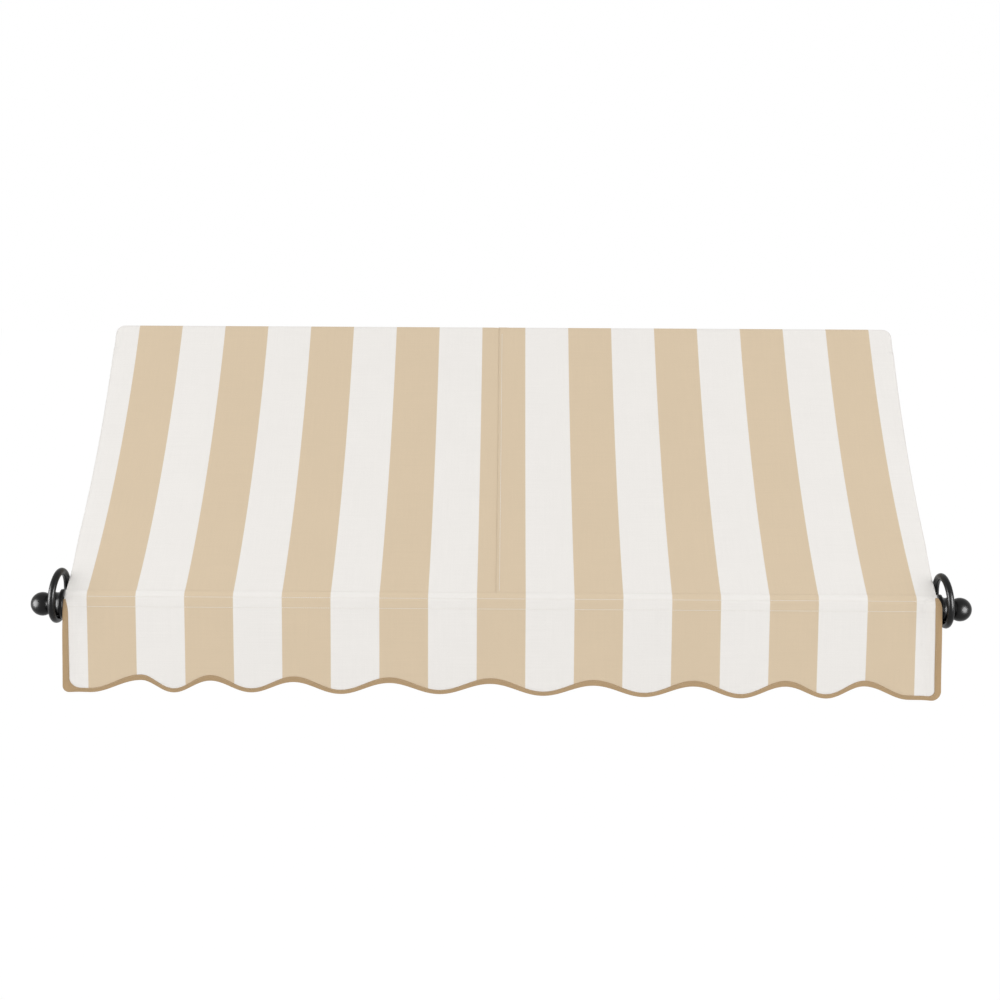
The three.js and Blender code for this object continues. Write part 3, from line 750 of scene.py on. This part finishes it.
# Section: front flap, half round fold, back flap; each flap slightly full
def tapeGrid():
    share = np.linspace(1, 0, tape["points"]["flap"])
    height = tape["clear"] + tape["pad"] * np.sin(np.pi * share)
    fold = np.linspace(quarterTurn, -quarterTurn, tape["points"]["fold"])[1:-1]
    front, back = tapeFace(1, share, height), tapeFace(-1, share[::-1], height[::-1])
    points = np.concatenate([front, tapeFold(fold), back], axis=1)
    across = np.linspace(0, tapeFront.mean() + tape["back"], points.shape[1])
    uv = np.stack(np.broadcast_arrays(across, tapeRun[:, None]), axis=2)
    return patch(points, uv)


tapePiece = makePiece("valance_tape", [tapeGrid()], tapeFinish, "binding_tape", ["valance_binding"])
thicken(tapePiece, tape["thickness"])
print("binding tape made:", round(tapeRun[-1], 3), "m")

# Pocket: a loop of cloth round the front bar, its two ends caught by the stitch rows
pocket = {
    "cloth": 0.0006,
    "from": 186,  # degrees round the bar, from the lower row under and behind it
    "to": 438,
    "upperEnd": (-0.0108, 0.0165),  # behind the upper row, from the bar's axis
    "inset": 0.004,
    "slack": 0.0022,
    "waves": ((0.25, 21.0, 7.0, 0.0), (0.2, 47.0, 0.0, 1.0)),  # share of the slack, pace, skew and start
    "even": 0.55,  # the share that is alike all along
    "loose": 1.3,  # the slack ends short of the upper row
    "points": {"loop": 56, "upper": 8},
    "step": 0.008,
}


# Profile in (y, z) round the bar and then straight to the upper row, pushed out by a slack that varies
# along the bar
def pocketGrid():
    count = pocket["points"]
    loop = arc(frontAxis, hemRadius, math.radians(pocket["from"]), math.radians(pocket["to"]), count["loop"])
    upper = np.linspace(loop[-1], frontAxis + pocket["upperEnd"], count["upper"])[1:]
    line = np.concatenate([loop, upper])
    run = runLength(line)
    x = stations([pocket["inset"] - frontEdge, frontEdge - pocket["inset"]], pocket["step"])[None, :]
    share = (run / run[-1])[:, None]
    loose = np.sin(np.pi * np.clip(share * pocket["loose"], 0, 1)) ** 2
    wave = sum(part * np.sin(x * pace + share * skew + start) for part, pace, skew, start in pocket["waves"])
    slack = pocket["slack"] * loose * (pocket["even"] + wave)
    normal = -normals(line)
    pushed = (line[:, k, None] + normal[:, k, None] * slack for k in (0, 1))
    points = np.stack([x + 0 * share, *pushed], axis=2)
    return patch(points, np.stack(np.broadcast_arrays(x, run[:, None]), axis=2), flip=True), run[-1]


pocketPatch, pocketLength = pocketGrid()
pocketLook = stripedCloth("pocketCloth")
pocketCloth = makePiece("front_pocket_cloth", [pocketPatch], pocketLook, "striped_cloth", ["front_pocket"])
thicken(pocketCloth, pocket["cloth"])
print("pocket made")

# Stitches: short arched lengths of thread whose ends dip into the cloth
stitch = {
    "pitch": stripes["stitchPitch"],
    "length": 0.0031,
    "thread": 0.00048,  # radius
    "along": np.array([-1, -0.82, -0.3, 0.3, 0.82, 1]),  # its six rings, in half lengths
    "girth": np.array([0.45, 0.9, 1, 1, 0.9, 0.45]),  # their radius and rise, in radii of the thread
    "rise": np.array([-0.9, -0.1, 0.5, 0.5, -0.1, -0.9]),
    "rowInset": 0.005,
    "tapeRow": 0.78,  # share of the way to the tape's inner edge
    "step": 0.004,
    "probe": 0.001,  # height over which a normal is measured
}


# Every stitch of a row at once: a six sided tube, swept along the tangent, sunk at both ends
def stitchPatch(place, tangent, normal):
    tangent = unit(tangent)
    normal = unit(normal - tangent * np.sum(normal * tangent, axis=1)[:, None])
    across = np.cross(normal, tangent)
    t = stitch["along"]
    rim = np.arange(6) * math.pi / 3
    radius, rise = stitch["thread"] * stitch["girth"], stitch["thread"] * stitch["rise"]
    reach = tangent[:, None, :] * (t * stitch["length"] / 2)[:, None]
    centre = place[:, None, :] + reach + normal[:, None, :] * rise[:, None]
    ring = normal[:, None, None, :] * np.cos(rim)[:, None] + across[:, None, None, :] * np.sin(rim)[:, None]
    points = centre[:, :, None, :] + ring * radius[:, None, None]
    count = len(place)
    index = np.arange(count * 36).reshape(count, 6, 6)
    wrapped = np.concatenate([index, index[:, :, :1]], axis=2)
    corners = [wrapped[:, :-1, :-1], wrapped[:, :-1, 1:], wrapped[:, 1:, 1:], wrapped[:, 1:, :-1]]
    tube = np.stack(corners, axis=3).reshape(-1, 4)
    first, last = index[:, 0], index[:, -1]
    caps = [first[:, [3, 2, 1, 0]], first[:, [5, 4, 3, 0]], last[:, [0, 1, 2, 3]], last[:, [0, 3, 4, 5]]]
    quads = np.concatenate([tube, *caps])
    uv = np.stack(np.broadcast_arrays(rim / (2 * math.pi) + 0 * t[:, None], t[:, None] * 1.5), axis=2)
    uv = np.broadcast_to(uv, (count, 6, 6, 2)).reshape(-1, 2)
    return points.reshape(-1, 3), quads, uv[quads]


# A row along a line of points: stitches at even pitch, with their tangents and the cloth's normals
def stitchRow(line, normal):
    run = runLength(line)
    at = np.arange(stitch["pitch"], run[-1] - stitch["pitch"], stitch["pitch"])
    take = lambda values: np.stack([np.interp(at, run, values[:, k]) for k in range(3)], axis=1)
    return stitchPatch(take(line), take(np.gradient(line, axis=0)), take(normal))


# A row on cloth whose points a function of height gives: the normal is the way they move with it
def rowOn(pointsAt, thickness):
    low, high = pointsAt(0.0), pointsAt(stitch["probe"])
    normal = (high - low) / stitch["probe"]
    return stitchRow(low + normal * thickness / 2, normal)


def valanceRow(run):
    x = stations([stitch["rowInset"] - frontEdge, frontEdge - stitch["rowInset"]], stitch["step"])
    return rowOn(lambda height: valancePoint(x, run + 0 * x, height), valance["cloth"])


def seamRow(x, face):
    keep = (slopeShare > 0) & (slopeShare < 1)
    rise = cover["lapRise"] * face + face * cover["cloth"] / 2
    row = np.nonzero(keep)[0][:, None]
    swell = coverOffset(np.full(row.shape, x), row, coverHalf()[row], 1)[:, 0] - cover["lapRise"]
    flat = coverLine[keep] + coverNormal[keep] * (swell + rise)[:, None]
    line = np.column_stack([np.full(len(flat), x), flat])
    return stitchRow(line, face * np.column_stack([np.zeros(len(flat)), coverNormal[keep]]))


def tapeRow(face):
    share = np.array([stitch["tapeRow"]])
    level = tape["clear"] + tape["pad"] * np.sin(np.pi * share)
    return rowOn(lambda height: tapeFace(face, share, level + height)[:, 0], tape["thickness"])


barStitches = makePiece("bar_stitches", [valanceRow(run) for run in stitchRows], whiteThread, "striped_cloth")
seams = [seamRow(x, face) for x in cover["seamRows"] for face in (1, -1)]
seamStitches = makePiece("seam_stitches", seams, whiteThread, "striped_cloth")
tapeStitches = makePiece("tape_stitches", [tapeRow(1), tapeRow(-1)], tanThread, "binding_tape")
print("stitches made")


# Hard parts: a finish with its slot, how far edges are eased, and the degrees from which they are sharp
blackMetal, zincSteel = (coatLook, "black_metal"), (zincLook, "zinc_steel")
blackPlastic = (mouldLook, "black_plastic")
edges = {
    "tube": 0.0004,
    "plug": 0.0009,
    "stud": 0.0006,
    "pin": 0.0006,
    "rod": 0.0008,
    "sleeve": 0.0016,
    "bracket": 0.0006,
    "screw": 0.0003,
    "turnedSharp": 40,
    "bracketSharp": 34,
    "flat": 1,
    "merge": 1e-6,
}
facets = {"ball": 96, "hexagon": 72, "thin": 32}


# Corners of a (run, radius) profile rounded off: each becomes a short curve that starts and ends a
# radius away, or half way to its neighbour
def rounded(profile, radius, steps=4):
    p = np.asarray(profile, float)
    before, after = p[:-2] - p[1:-1], p[2:] - p[1:-1]
    lengthBefore, lengthAfter = np.linalg.norm(before, axis=1)[:, None], np.linalg.norm(after, axis=1)[:, None]
    start = p[1:-1] + before / lengthBefore * np.minimum(radius, lengthBefore / 2.01)
    end = p[1:-1] + after / lengthAfter * np.minimum(radius, lengthAfter / 2.01)
    t = np.linspace(0, 1, steps + 1)[:, None]
    curve = start[:, None] * (1 - t) ** 2 + p[1:-1, None] * 2 * t * (1 - t) + end[:, None] * t**2
    return np.concatenate([p[:1], curve.reshape(-1, 2), p[-1:]])


# A profile of (run, radius) carried round an axis
def turned(profile, origin, axis, count=64, shape=None):
    axis = unit(np.asarray(axis, float))
    first = unit(np.cross(axis, [0, 0, 1] if abs(axis[2]) < 0.9 else [1, 0, 0]))
    second = np.cross(axis, first)
    run, radius = np.asarray(profile, float).T
    angle = np.arange(count) * 2 * math.pi / count
    wide = np.broadcast_to(radius[:, None], (len(run), count))
    if shape is not None:
        wide = shape(run[:, None], wide, angle)
    points = np.asarray(origin) + run[:, None, None] * axis
    points = points + wide[..., None] * (np.cos(angle)[:, None] * first + np.sin(angle)[:, None] * second)
    return patch(points, closeColumns=True)


# The same for a profile that closes on itself, such as a tube's wall
def turnedLoop(profile, origin, axis):
    return turned(rounded([*profile, *profile[:2]], edges["tube"])[1:-1], origin, axis)


# Profile of a round bar with eased ends
def spindle(first, last, radius, ease):
    return rounded([(first, 0), (first, radius), (last, radius), (last, 0)], ease)


def hardPiece(name, patches, finish, node):
    piece = makePiece(name, patches, *finish, [node], weld=True)
    piece.data.set_sharp_from_angle(angle=math.radians(edges["turnedSharp"]))
    piece.modifiers.new("evenNormals", "WEIGHTED_NORMAL").keep_sharp = True


# Bars, with the plugs of the head bar and the inserts of the front bar
bar = {"wall": 0.0016, "plugDepth": 0.018, "plugFlange": 0.0025, "insertDepth": 0.034, "fit": 0.0003}
bore = barRadius - bar["wall"]
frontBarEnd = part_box("front_bar")[1].x
onHead, onFront = np.array([0, *headAxis]), np.array([0, *frontAxis])
alongX = np.array([1.0, 0, 0])


def tubeWall(half):
    return [(-half, bore), (-half, barRadius), (half, barRadius), (half, bore)]


hardPiece("head_bar_tube", [turnedLoop(tubeWall(headBarEnd), onHead, alongX)], blackMetal, "head_bar")
hardPiece("front_bar_tube", [turnedLoop(tubeWall(frontBarEnd), onFront, alongX)], blackMetal, "front_bar")

# Front bar ends: hub, stud and ball, measured out from the bar's end
finial = {
    "flange": 0.0070,
    "flangeRadius": 0.026,
    "length": 0.023,
    "groove": 0.0070,  # radius of the groove that the ring lies in
    "seatRadius": 0.0202,  # at the bottom of the groove
    "lipRadius": 0.0225,
    "round": 0.0030,
    "stud": 0.005,
    "studInBall": 0.014,
    "ball": 0.0206,
    "facing": 0.004,  # the ball is cut flat this deep where it meets the hub
}
hubEnd = hubFace + finial["length"]
grooveMiddle = hubFace + finial["flange"] + finial["groove"]
ballFace = hubEnd + bar["fit"]
ballCentre = ballFace + finial["ball"] - finial["facing"]
studHole = finial["stud"] + bar["fit"]

for hand, side in sides.items():
    outwards = side * alongX
    inBore = bore - bar["fit"]
    plugStart, shoulder = headBarEnd - bar["plugDepth"], headBarEnd + bar["fit"]
    plugEnd = shoulder + bar["plugFlange"]
    plug = rounded([(plugStart, 0), (plugStart, inBore), (shoulder, inBore), (shoulder, barRadius),
                    (plugEnd, barRadius), (plugEnd, 0)], edges["plug"])
    hardPiece(f"head_plug_{hand}", [turned(plug, onHead, outwards)], blackPlastic, f"head_bar_plug_{hand}")

    start = frontBarEnd - bar["insertDepth"]
    insert = [(start, studHole), (start, inBore), (frontBarEnd, inBore), (frontBarEnd, studHole)]
    hardPiece(f"bar_insert_{hand}", [turnedLoop(insert, onFront, outwards)], zincSteel, f"front_bar_insert_{hand}")

    grooveCentre = finial["seatRadius"] + finial["groove"]
    rise = [math.asin((finial[k] - grooveCentre) / finial["groove"]) for k in ("flangeRadius", "lipRadius")]
    groove = arc((grooveMiddle, grooveCentre), finial["groove"], math.pi - rise[0], 2 * math.pi + rise[1], 20)
    hub = rounded([(hubFace, studHole), (hubFace, finial["flangeRadius"]), *groove, (hubEnd, finial["lipRadius"]),
                   (hubEnd, studHole)], finial["round"], 6)
    hub = np.concatenate([hub, hub[:1]])
    hub = turned(hub, onFront, outwards, facets["ball"])
    hardPiece(f"bar_hub_{hand}", [hub], blackMetal, f"front_hub_{hand}")

    studFrom = hubFace - bar["insertDepth"] + finial["stud"]
    studTo = ballFace + finial["studInBall"]
    stud = turned(spindle(studFrom, studTo, finial["stud"], edges["stud"]), onFront, outwards, facets["thin"])
    hardPiece(f"ball_stud_{hand}", [stud], zincSteel, f"finial_stud_{hand}")

    start = math.asin((ballFace - ballCentre) / finial["ball"])
    shell = arc((ballCentre, 0), finial["ball"], quarterTurn - start, 0, 48)
    holeEnd = studTo + bar["fit"]
    ball = np.concatenate([[(holeEnd, 0), (holeEnd, studHole), (ballFace, studHole)], shell])
    ball = turned(ball, onFront, outwards, facets["ball"])
    hardPiece(f"bar_ball_{hand}", [ball], blackMetal, f"ball_finial_{hand}")
print("bars and finials made")

# Arms: ring with its sleeve, rod, pin, bolt and nut, in a frame whose y runs to the wall
arm = {
    "toe": 7.0,
    "lean": 4.5,
    "ringRadius": 0.0421,
    "ringBar": 0.0062,
    "sleeve": 0.0095,
    "sleeveLength": 0.038,
    "sleeveFloor": 0.005,
    "sleeveRoot": 0.9,  # its radius where it grows from the ring, in ring bars
    "rod": 0.00635,
    "pin": 0.002,
    "socketFloor": 0.009,
    "boltFromWall": 0.029,
    "bolt": 0.003,
    "spotface": 0.0112,
    "boltHead": 0.004,
    "acrossFlats": 0.010,
    "nut": 0.005,
    "tail": 0.002,
    "pitch": 0.001,
    "threadDepth": 0.0003,
    "threadRings": 90,
    "cone": 0.86,  # radius left by the chamfer at a hexagon's face
    "headCone": 0.8,  # where it starts, in heights of the head and of the nut
    "nutCone": 0.16,
}
lean = math.radians(arm["lean"])
ringPlace = np.array([
    grooveMiddle - arm["ringRadius"] * math.sin(lean),
    frontAxis[0],
    frontAxis[1] + arm["ringRadius"] * math.cos(lean) - arm["ringBar"] - finial["seatRadius"] - bar["fit"],
])
wallDistance = -frontAxis[0] / math.cos(math.radians(arm["toe"]))
sleeveEnd = arm["ringRadius"] + arm["ringBar"] + arm["sleeveLength"]
sleeveBottom = arm["ringRadius"] + arm["ringBar"] + arm["sleeveFloor"]
pinPlace = (sleeveBottom + sleeveEnd) / 2
boltPlace = wallDistance - arm["boltFromWall"]


# Round bar bent to a circle: centre + cos(a) (R + r cos(b)) e1 + sin(a) (R + r cos(b)) e2 + r sin(b) n
def hoop(centre, e1, e2, radius, thick, around=128, section=32):
    a = np.arange(around)[:, None, None] * 2 * math.pi / around
    b = np.arange(section)[None, :, None] * 2 * math.pi / section
    out = np.cos(a) * e1 + np.sin(a) * e2
    points = centre + out * (radius + thick * np.cos(b)) + thick * np.sin(b) * np.cross(e1, e2)
    return patch(points, closeRows=True, closeColumns=True)


# Hexagon cut by a chamfer cone: the nearer of the two at each angle
def hexagonal(acrossFlats):
    def shape(run, radius, angle):
        toFlat = (angle + math.pi / 6) % (math.pi / 3) - math.pi / 6
        return np.minimum(radius, acrossFlats / 2 / np.cos(toFlat))
    return shape


# Screw thread: the radius falls and rises once a pitch, and the wave turns once round with the angle
def threaded(pitch, depth):
    def shape(run, radius, angle):
        wave = np.abs((run / pitch + angle / (2 * math.pi)) % 1 - 0.5) * 2
        return np.where(radius > depth * 3, radius - depth * wave, radius)
    return shape


for hand, side in sides.items():
    toe = side * math.radians(arm["toe"])
    toWall = np.array([-math.sin(toe), math.cos(toe), 0])
    acrossArm = np.array([math.cos(toe), math.sin(toe), 0])
    up = np.array([0, 0, 1.0])
    centre = ringPlace * [side, 1, 1]
    ringUp = up * math.cos(lean) - acrossArm * side * math.sin(lean)
    ring = hoop(centre, toWall, ringUp, arm["ringRadius"], arm["ringBar"])
    outer = arm["sleeve"]
    chamfer = (outer - arm["rod"]) / 2
    root = arm["ringRadius"]
    hole = arm["rod"] + bar["fit"]
    sleeve = rounded([(root, 0), (root, arm["ringBar"] * arm["sleeveRoot"]), (root + arm["ringBar"] * 2, outer),
                      (sleeveEnd - chamfer, outer), (sleeveEnd, outer - chamfer), (sleeveEnd, hole),
                      (sleeveBottom, hole), (sleeveBottom, 0)], edges["sleeve"])
    sleeve = turned(sleeve, centre, toWall)
    hardPiece(f"arm_ring_{hand}", [ring, sleeve], blackMetal, f"support_ring_{hand}")

    rodFrom, rodTo = sleeveBottom + bar["fit"], wallDistance - arm["socketFloor"] - bar["fit"]
    rod = turned(spindle(rodFrom, rodTo, arm["rod"], edges["rod"]), centre, toWall)
    hardPiece(f"arm_bar_{hand}", [rod], blackMetal, f"arm_rod_{hand}")

    pin = turned(spindle(-outer, outer, arm["pin"], edges["pin"]), centre + toWall * pinPlace, up, facets["thin"])
    hardPiece(f"arm_pin_{hand}", [pin], zincSteel, f"ring_pin_{hand}")

    seat = arm["spotface"] + bar["fit"]
    tip = seat + arm["nut"] + arm["tail"]
    boltAt = centre + toWall * boltPlace
    wide = arm["acrossFlats"] / math.sqrt(3)
    narrow = wide * arm["cone"]
    headTop, inHead = seat + arm["boltHead"], seat + arm["boltHead"] / 2
    head = [(seat, 0), (seat, wide), (seat + arm["boltHead"] * arm["headCone"], wide), (headTop, narrow),
            (headTop, 0)]
    spiral = np.linspace(-tip, -arm["rod"], arm["threadRings"])
    shank = np.stack([spiral, np.full_like(spiral, arm["bolt"])], axis=1)
    thread = np.concatenate([[(-tip, 0)], shank, [(inHead, arm["bolt"]), (inHead, 0)]])
    boltParts = [turned(head, boltAt, up, facets["hexagon"], hexagonal(arm["acrossFlats"])),
                 turned(thread, boltAt, up, facets["thin"], threaded(arm["pitch"], arm["threadDepth"]))]
    hardPiece(f"arm_bolt_{hand}", boltParts, zincSteel, f"socket_bolt_{hand}")

    inner, nutEnd, cut = arm["bolt"] + bar["fit"], -seat - arm["nut"], arm["nut"] * arm["nutCone"]
    nut = [(nutEnd, inner), (nutEnd, narrow), (nutEnd + cut, wide), (-seat - cut, wide), (-seat, narrow),
           (-seat, inner), (nutEnd, inner)]
    nut = turned(nut, boltAt, up, facets["hexagon"], hexagonal(arm["acrossFlats"]))
    hardPiece(f"arm_nut_{hand}", [nut], zincSteel, f"socket_nut_{hand}")
print("arms made")


# Brackets keep the shape of their node, with its doubles merged, its flats joined and its edges eased
def eased(node, name, finish, width):
    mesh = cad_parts[node].data.copy()
    work = bmesh.new()
    work.from_mesh(mesh)
    bmesh.ops.remove_doubles(work, verts=work.verts, dist=edges["merge"])
    bmesh.ops.dissolve_limit(work, angle_limit=math.radians(edges["flat"]), verts=work.verts, edges=work.edges)
    work.to_mesh(mesh)
    work.free()
    mesh.shade_smooth()
    bevel = addPiece(name, mesh, *finish, [node]).modifiers.new("easedEdges", "BEVEL")
    bevel.width = width
    bevel.segments = 3
    bevel.limit_method = "ANGLE"
    bevel.angle_limit = math.radians(edges["bracketSharp"])
    bevel.harden_normals = True


for place in ("left", "centre", "right"):
    eased(f"head_hook_{place}", f"wall_hook_{place}", blackMetal, edges["bracket"])
    eased(f"head_set_screw_{place}", f"hook_screw_{place}", zincSteel, edges["screw"])
for hand in sides:
    eased(f"wall_socket_{hand}", f"arm_socket_{hand}", blackMetal, edges["bracket"])
print("brackets made")

# What the valance was cut to: its width and its length
valanceFlat = sum(valanceEnd.values()), barRow + valanceDrop

# Stage: a pale floor at the height of the ground, an even white surround, two soft lamps
stage = {
    "floor": -2.5,
    "floorHalf": 40.0,
    "floorShare": 0.85,  # of its own white, the rest keeps the shadow
    "floorGlow": 1.04,
    "surround": 0.868,
    "lampFar": 2.6,
}
# a pair of large lamps lights the cloth, and a pair seen only in the black coat gives it its glints;
# they swing to each side of the front, and rise, by degrees
lamps = {
    "soft": {"power": 15.0, "size": 3.0, "left": 58, "right": 58, "rise": 18},
    "glint": {"power": 280.0, "size": 1.9, "left": 70, "right": 50, "rise": 5},
}


# 1 for rays that see the background straight, through glass or mirrored in a coat
def seenDirectly(paint):
    seen, through, mirrored = (
        paint.node("ShaderNodeLightPath", {}, {}, f"Is {ray} Ray") for ray in ("Camera", "Transmission", "Glossy"))
    return seen.math("MAXIMUM", through).math("MAXIMUM", mirrored)


def makeFloor():
    half = stage["floorHalf"]
    corner = np.array([-half, half])
    x, y = np.meshgrid(corner, corner)
    points, quads, _ = patch(np.stack([x, y, np.full_like(x, stage["floor"])], axis=2))
    mesh = bpy.data.meshes.new("floor")
    mesh.from_pydata(points, [], quads)
    floor = bpy.data.objects.new("floor", mesh)
    bpy.context.scene.collection.objects.link(floor)
    paint = Paint("paleFloor", **{"Base Color": (0.9, 0.9, 0.9, 1), "Roughness": 0.9, "Specular IOR Level": 0.1})
    white = Wire(paint, paint.shader.outputs[0])
    glow = paint.node("ShaderNodeEmission", {}, {"Strength": stage["floorGlow"]})
    share = seenDirectly(paint) * stage["floorShare"]
    mixed = paint.node("ShaderNodeMixShader", {}, {0: share, 1: white, 2: glow})
    paint.feed(paint.tree.nodes["Material Output"], {0: mixed})
    mesh.materials.append(paint.owner)


def makeSurround():
    paint = Paint("surround", "worlds", "Background", Color=(1, 1, 1, 1))
    level = paint.node("ShaderNodeMapRange", {}, {0: seenDirectly(paint), 3: stage["surround"], 4: 1.0})
    paint.feed(paint.shader, {"Strength": level})
    bpy.context.scene.world = paint.owner


def makeLamp(kind, hand, side):
    swing, rise = math.radians(lamps[kind][hand]), math.radians(lamps[kind]["rise"])
    middle = Vector((0, frontAxis[0], frontAxis[1]))
    aimAt = Vector((side * math.sin(swing) * math.cos(rise), -math.cos(swing) * math.cos(rise), math.sin(rise)))
    data = bpy.data.lights.new(f"{kind}_{hand}", "AREA")
    data.shape = "DISK"
    data.size = lamps[kind]["size"]
    data.energy = lamps[kind]["power"]
    lamp = bpy.data.objects.new(data.name, data)
    lamp.visible_diffuse = kind == "soft"
    lamp.visible_glossy = kind == "glint"
    lamp.location = middle + aimAt * stage["lampFar"]
    lamp.rotation_euler = aimAt.to_track_quat("Z", "Y").to_euler()
    bpy.context.scene.collection.objects.link(lamp)


makeFloor()
makeSurround()
for hand, side in sides.items():
    for kind in lamps:
        makeLamp(kind, hand, side)

# Camera: a long lens a little above the front bar, square to the wall
view = {"place": (0.0142, -4.1599, 0.3118), "yaw": 0.2665, "pitch": 8.15, "roll": 0.31, "lens": 75.27}


def makeCamera():
    yaw, pitch, roll = (math.radians(view[k]) for k in ("yaw", "pitch", "roll"))
    ahead = Vector((-math.sin(yaw) * math.cos(pitch), math.cos(yaw) * math.cos(pitch), -math.sin(pitch)))
    level = Vector((math.cos(yaw), math.sin(yaw), 0))
    lift = level.cross(ahead)
    right = level * math.cos(roll) + lift * math.sin(roll)
    up = lift * math.cos(roll) - level * math.sin(roll)
    data = bpy.data.cameras.new("camera")
    data.lens = view["lens"]
    camera = bpy.data.objects.new("camera", data)
    camera.matrix_world = Matrix.Translation(view["place"]) @ Matrix((right, up, -ahead)).transposed().to_4x4()
    bpy.context.scene.collection.objects.link(camera)
    bpy.context.scene.camera = camera


makeCamera()
bpy.context.scene.view_settings.view_transform = "Standard"
print("stage set")
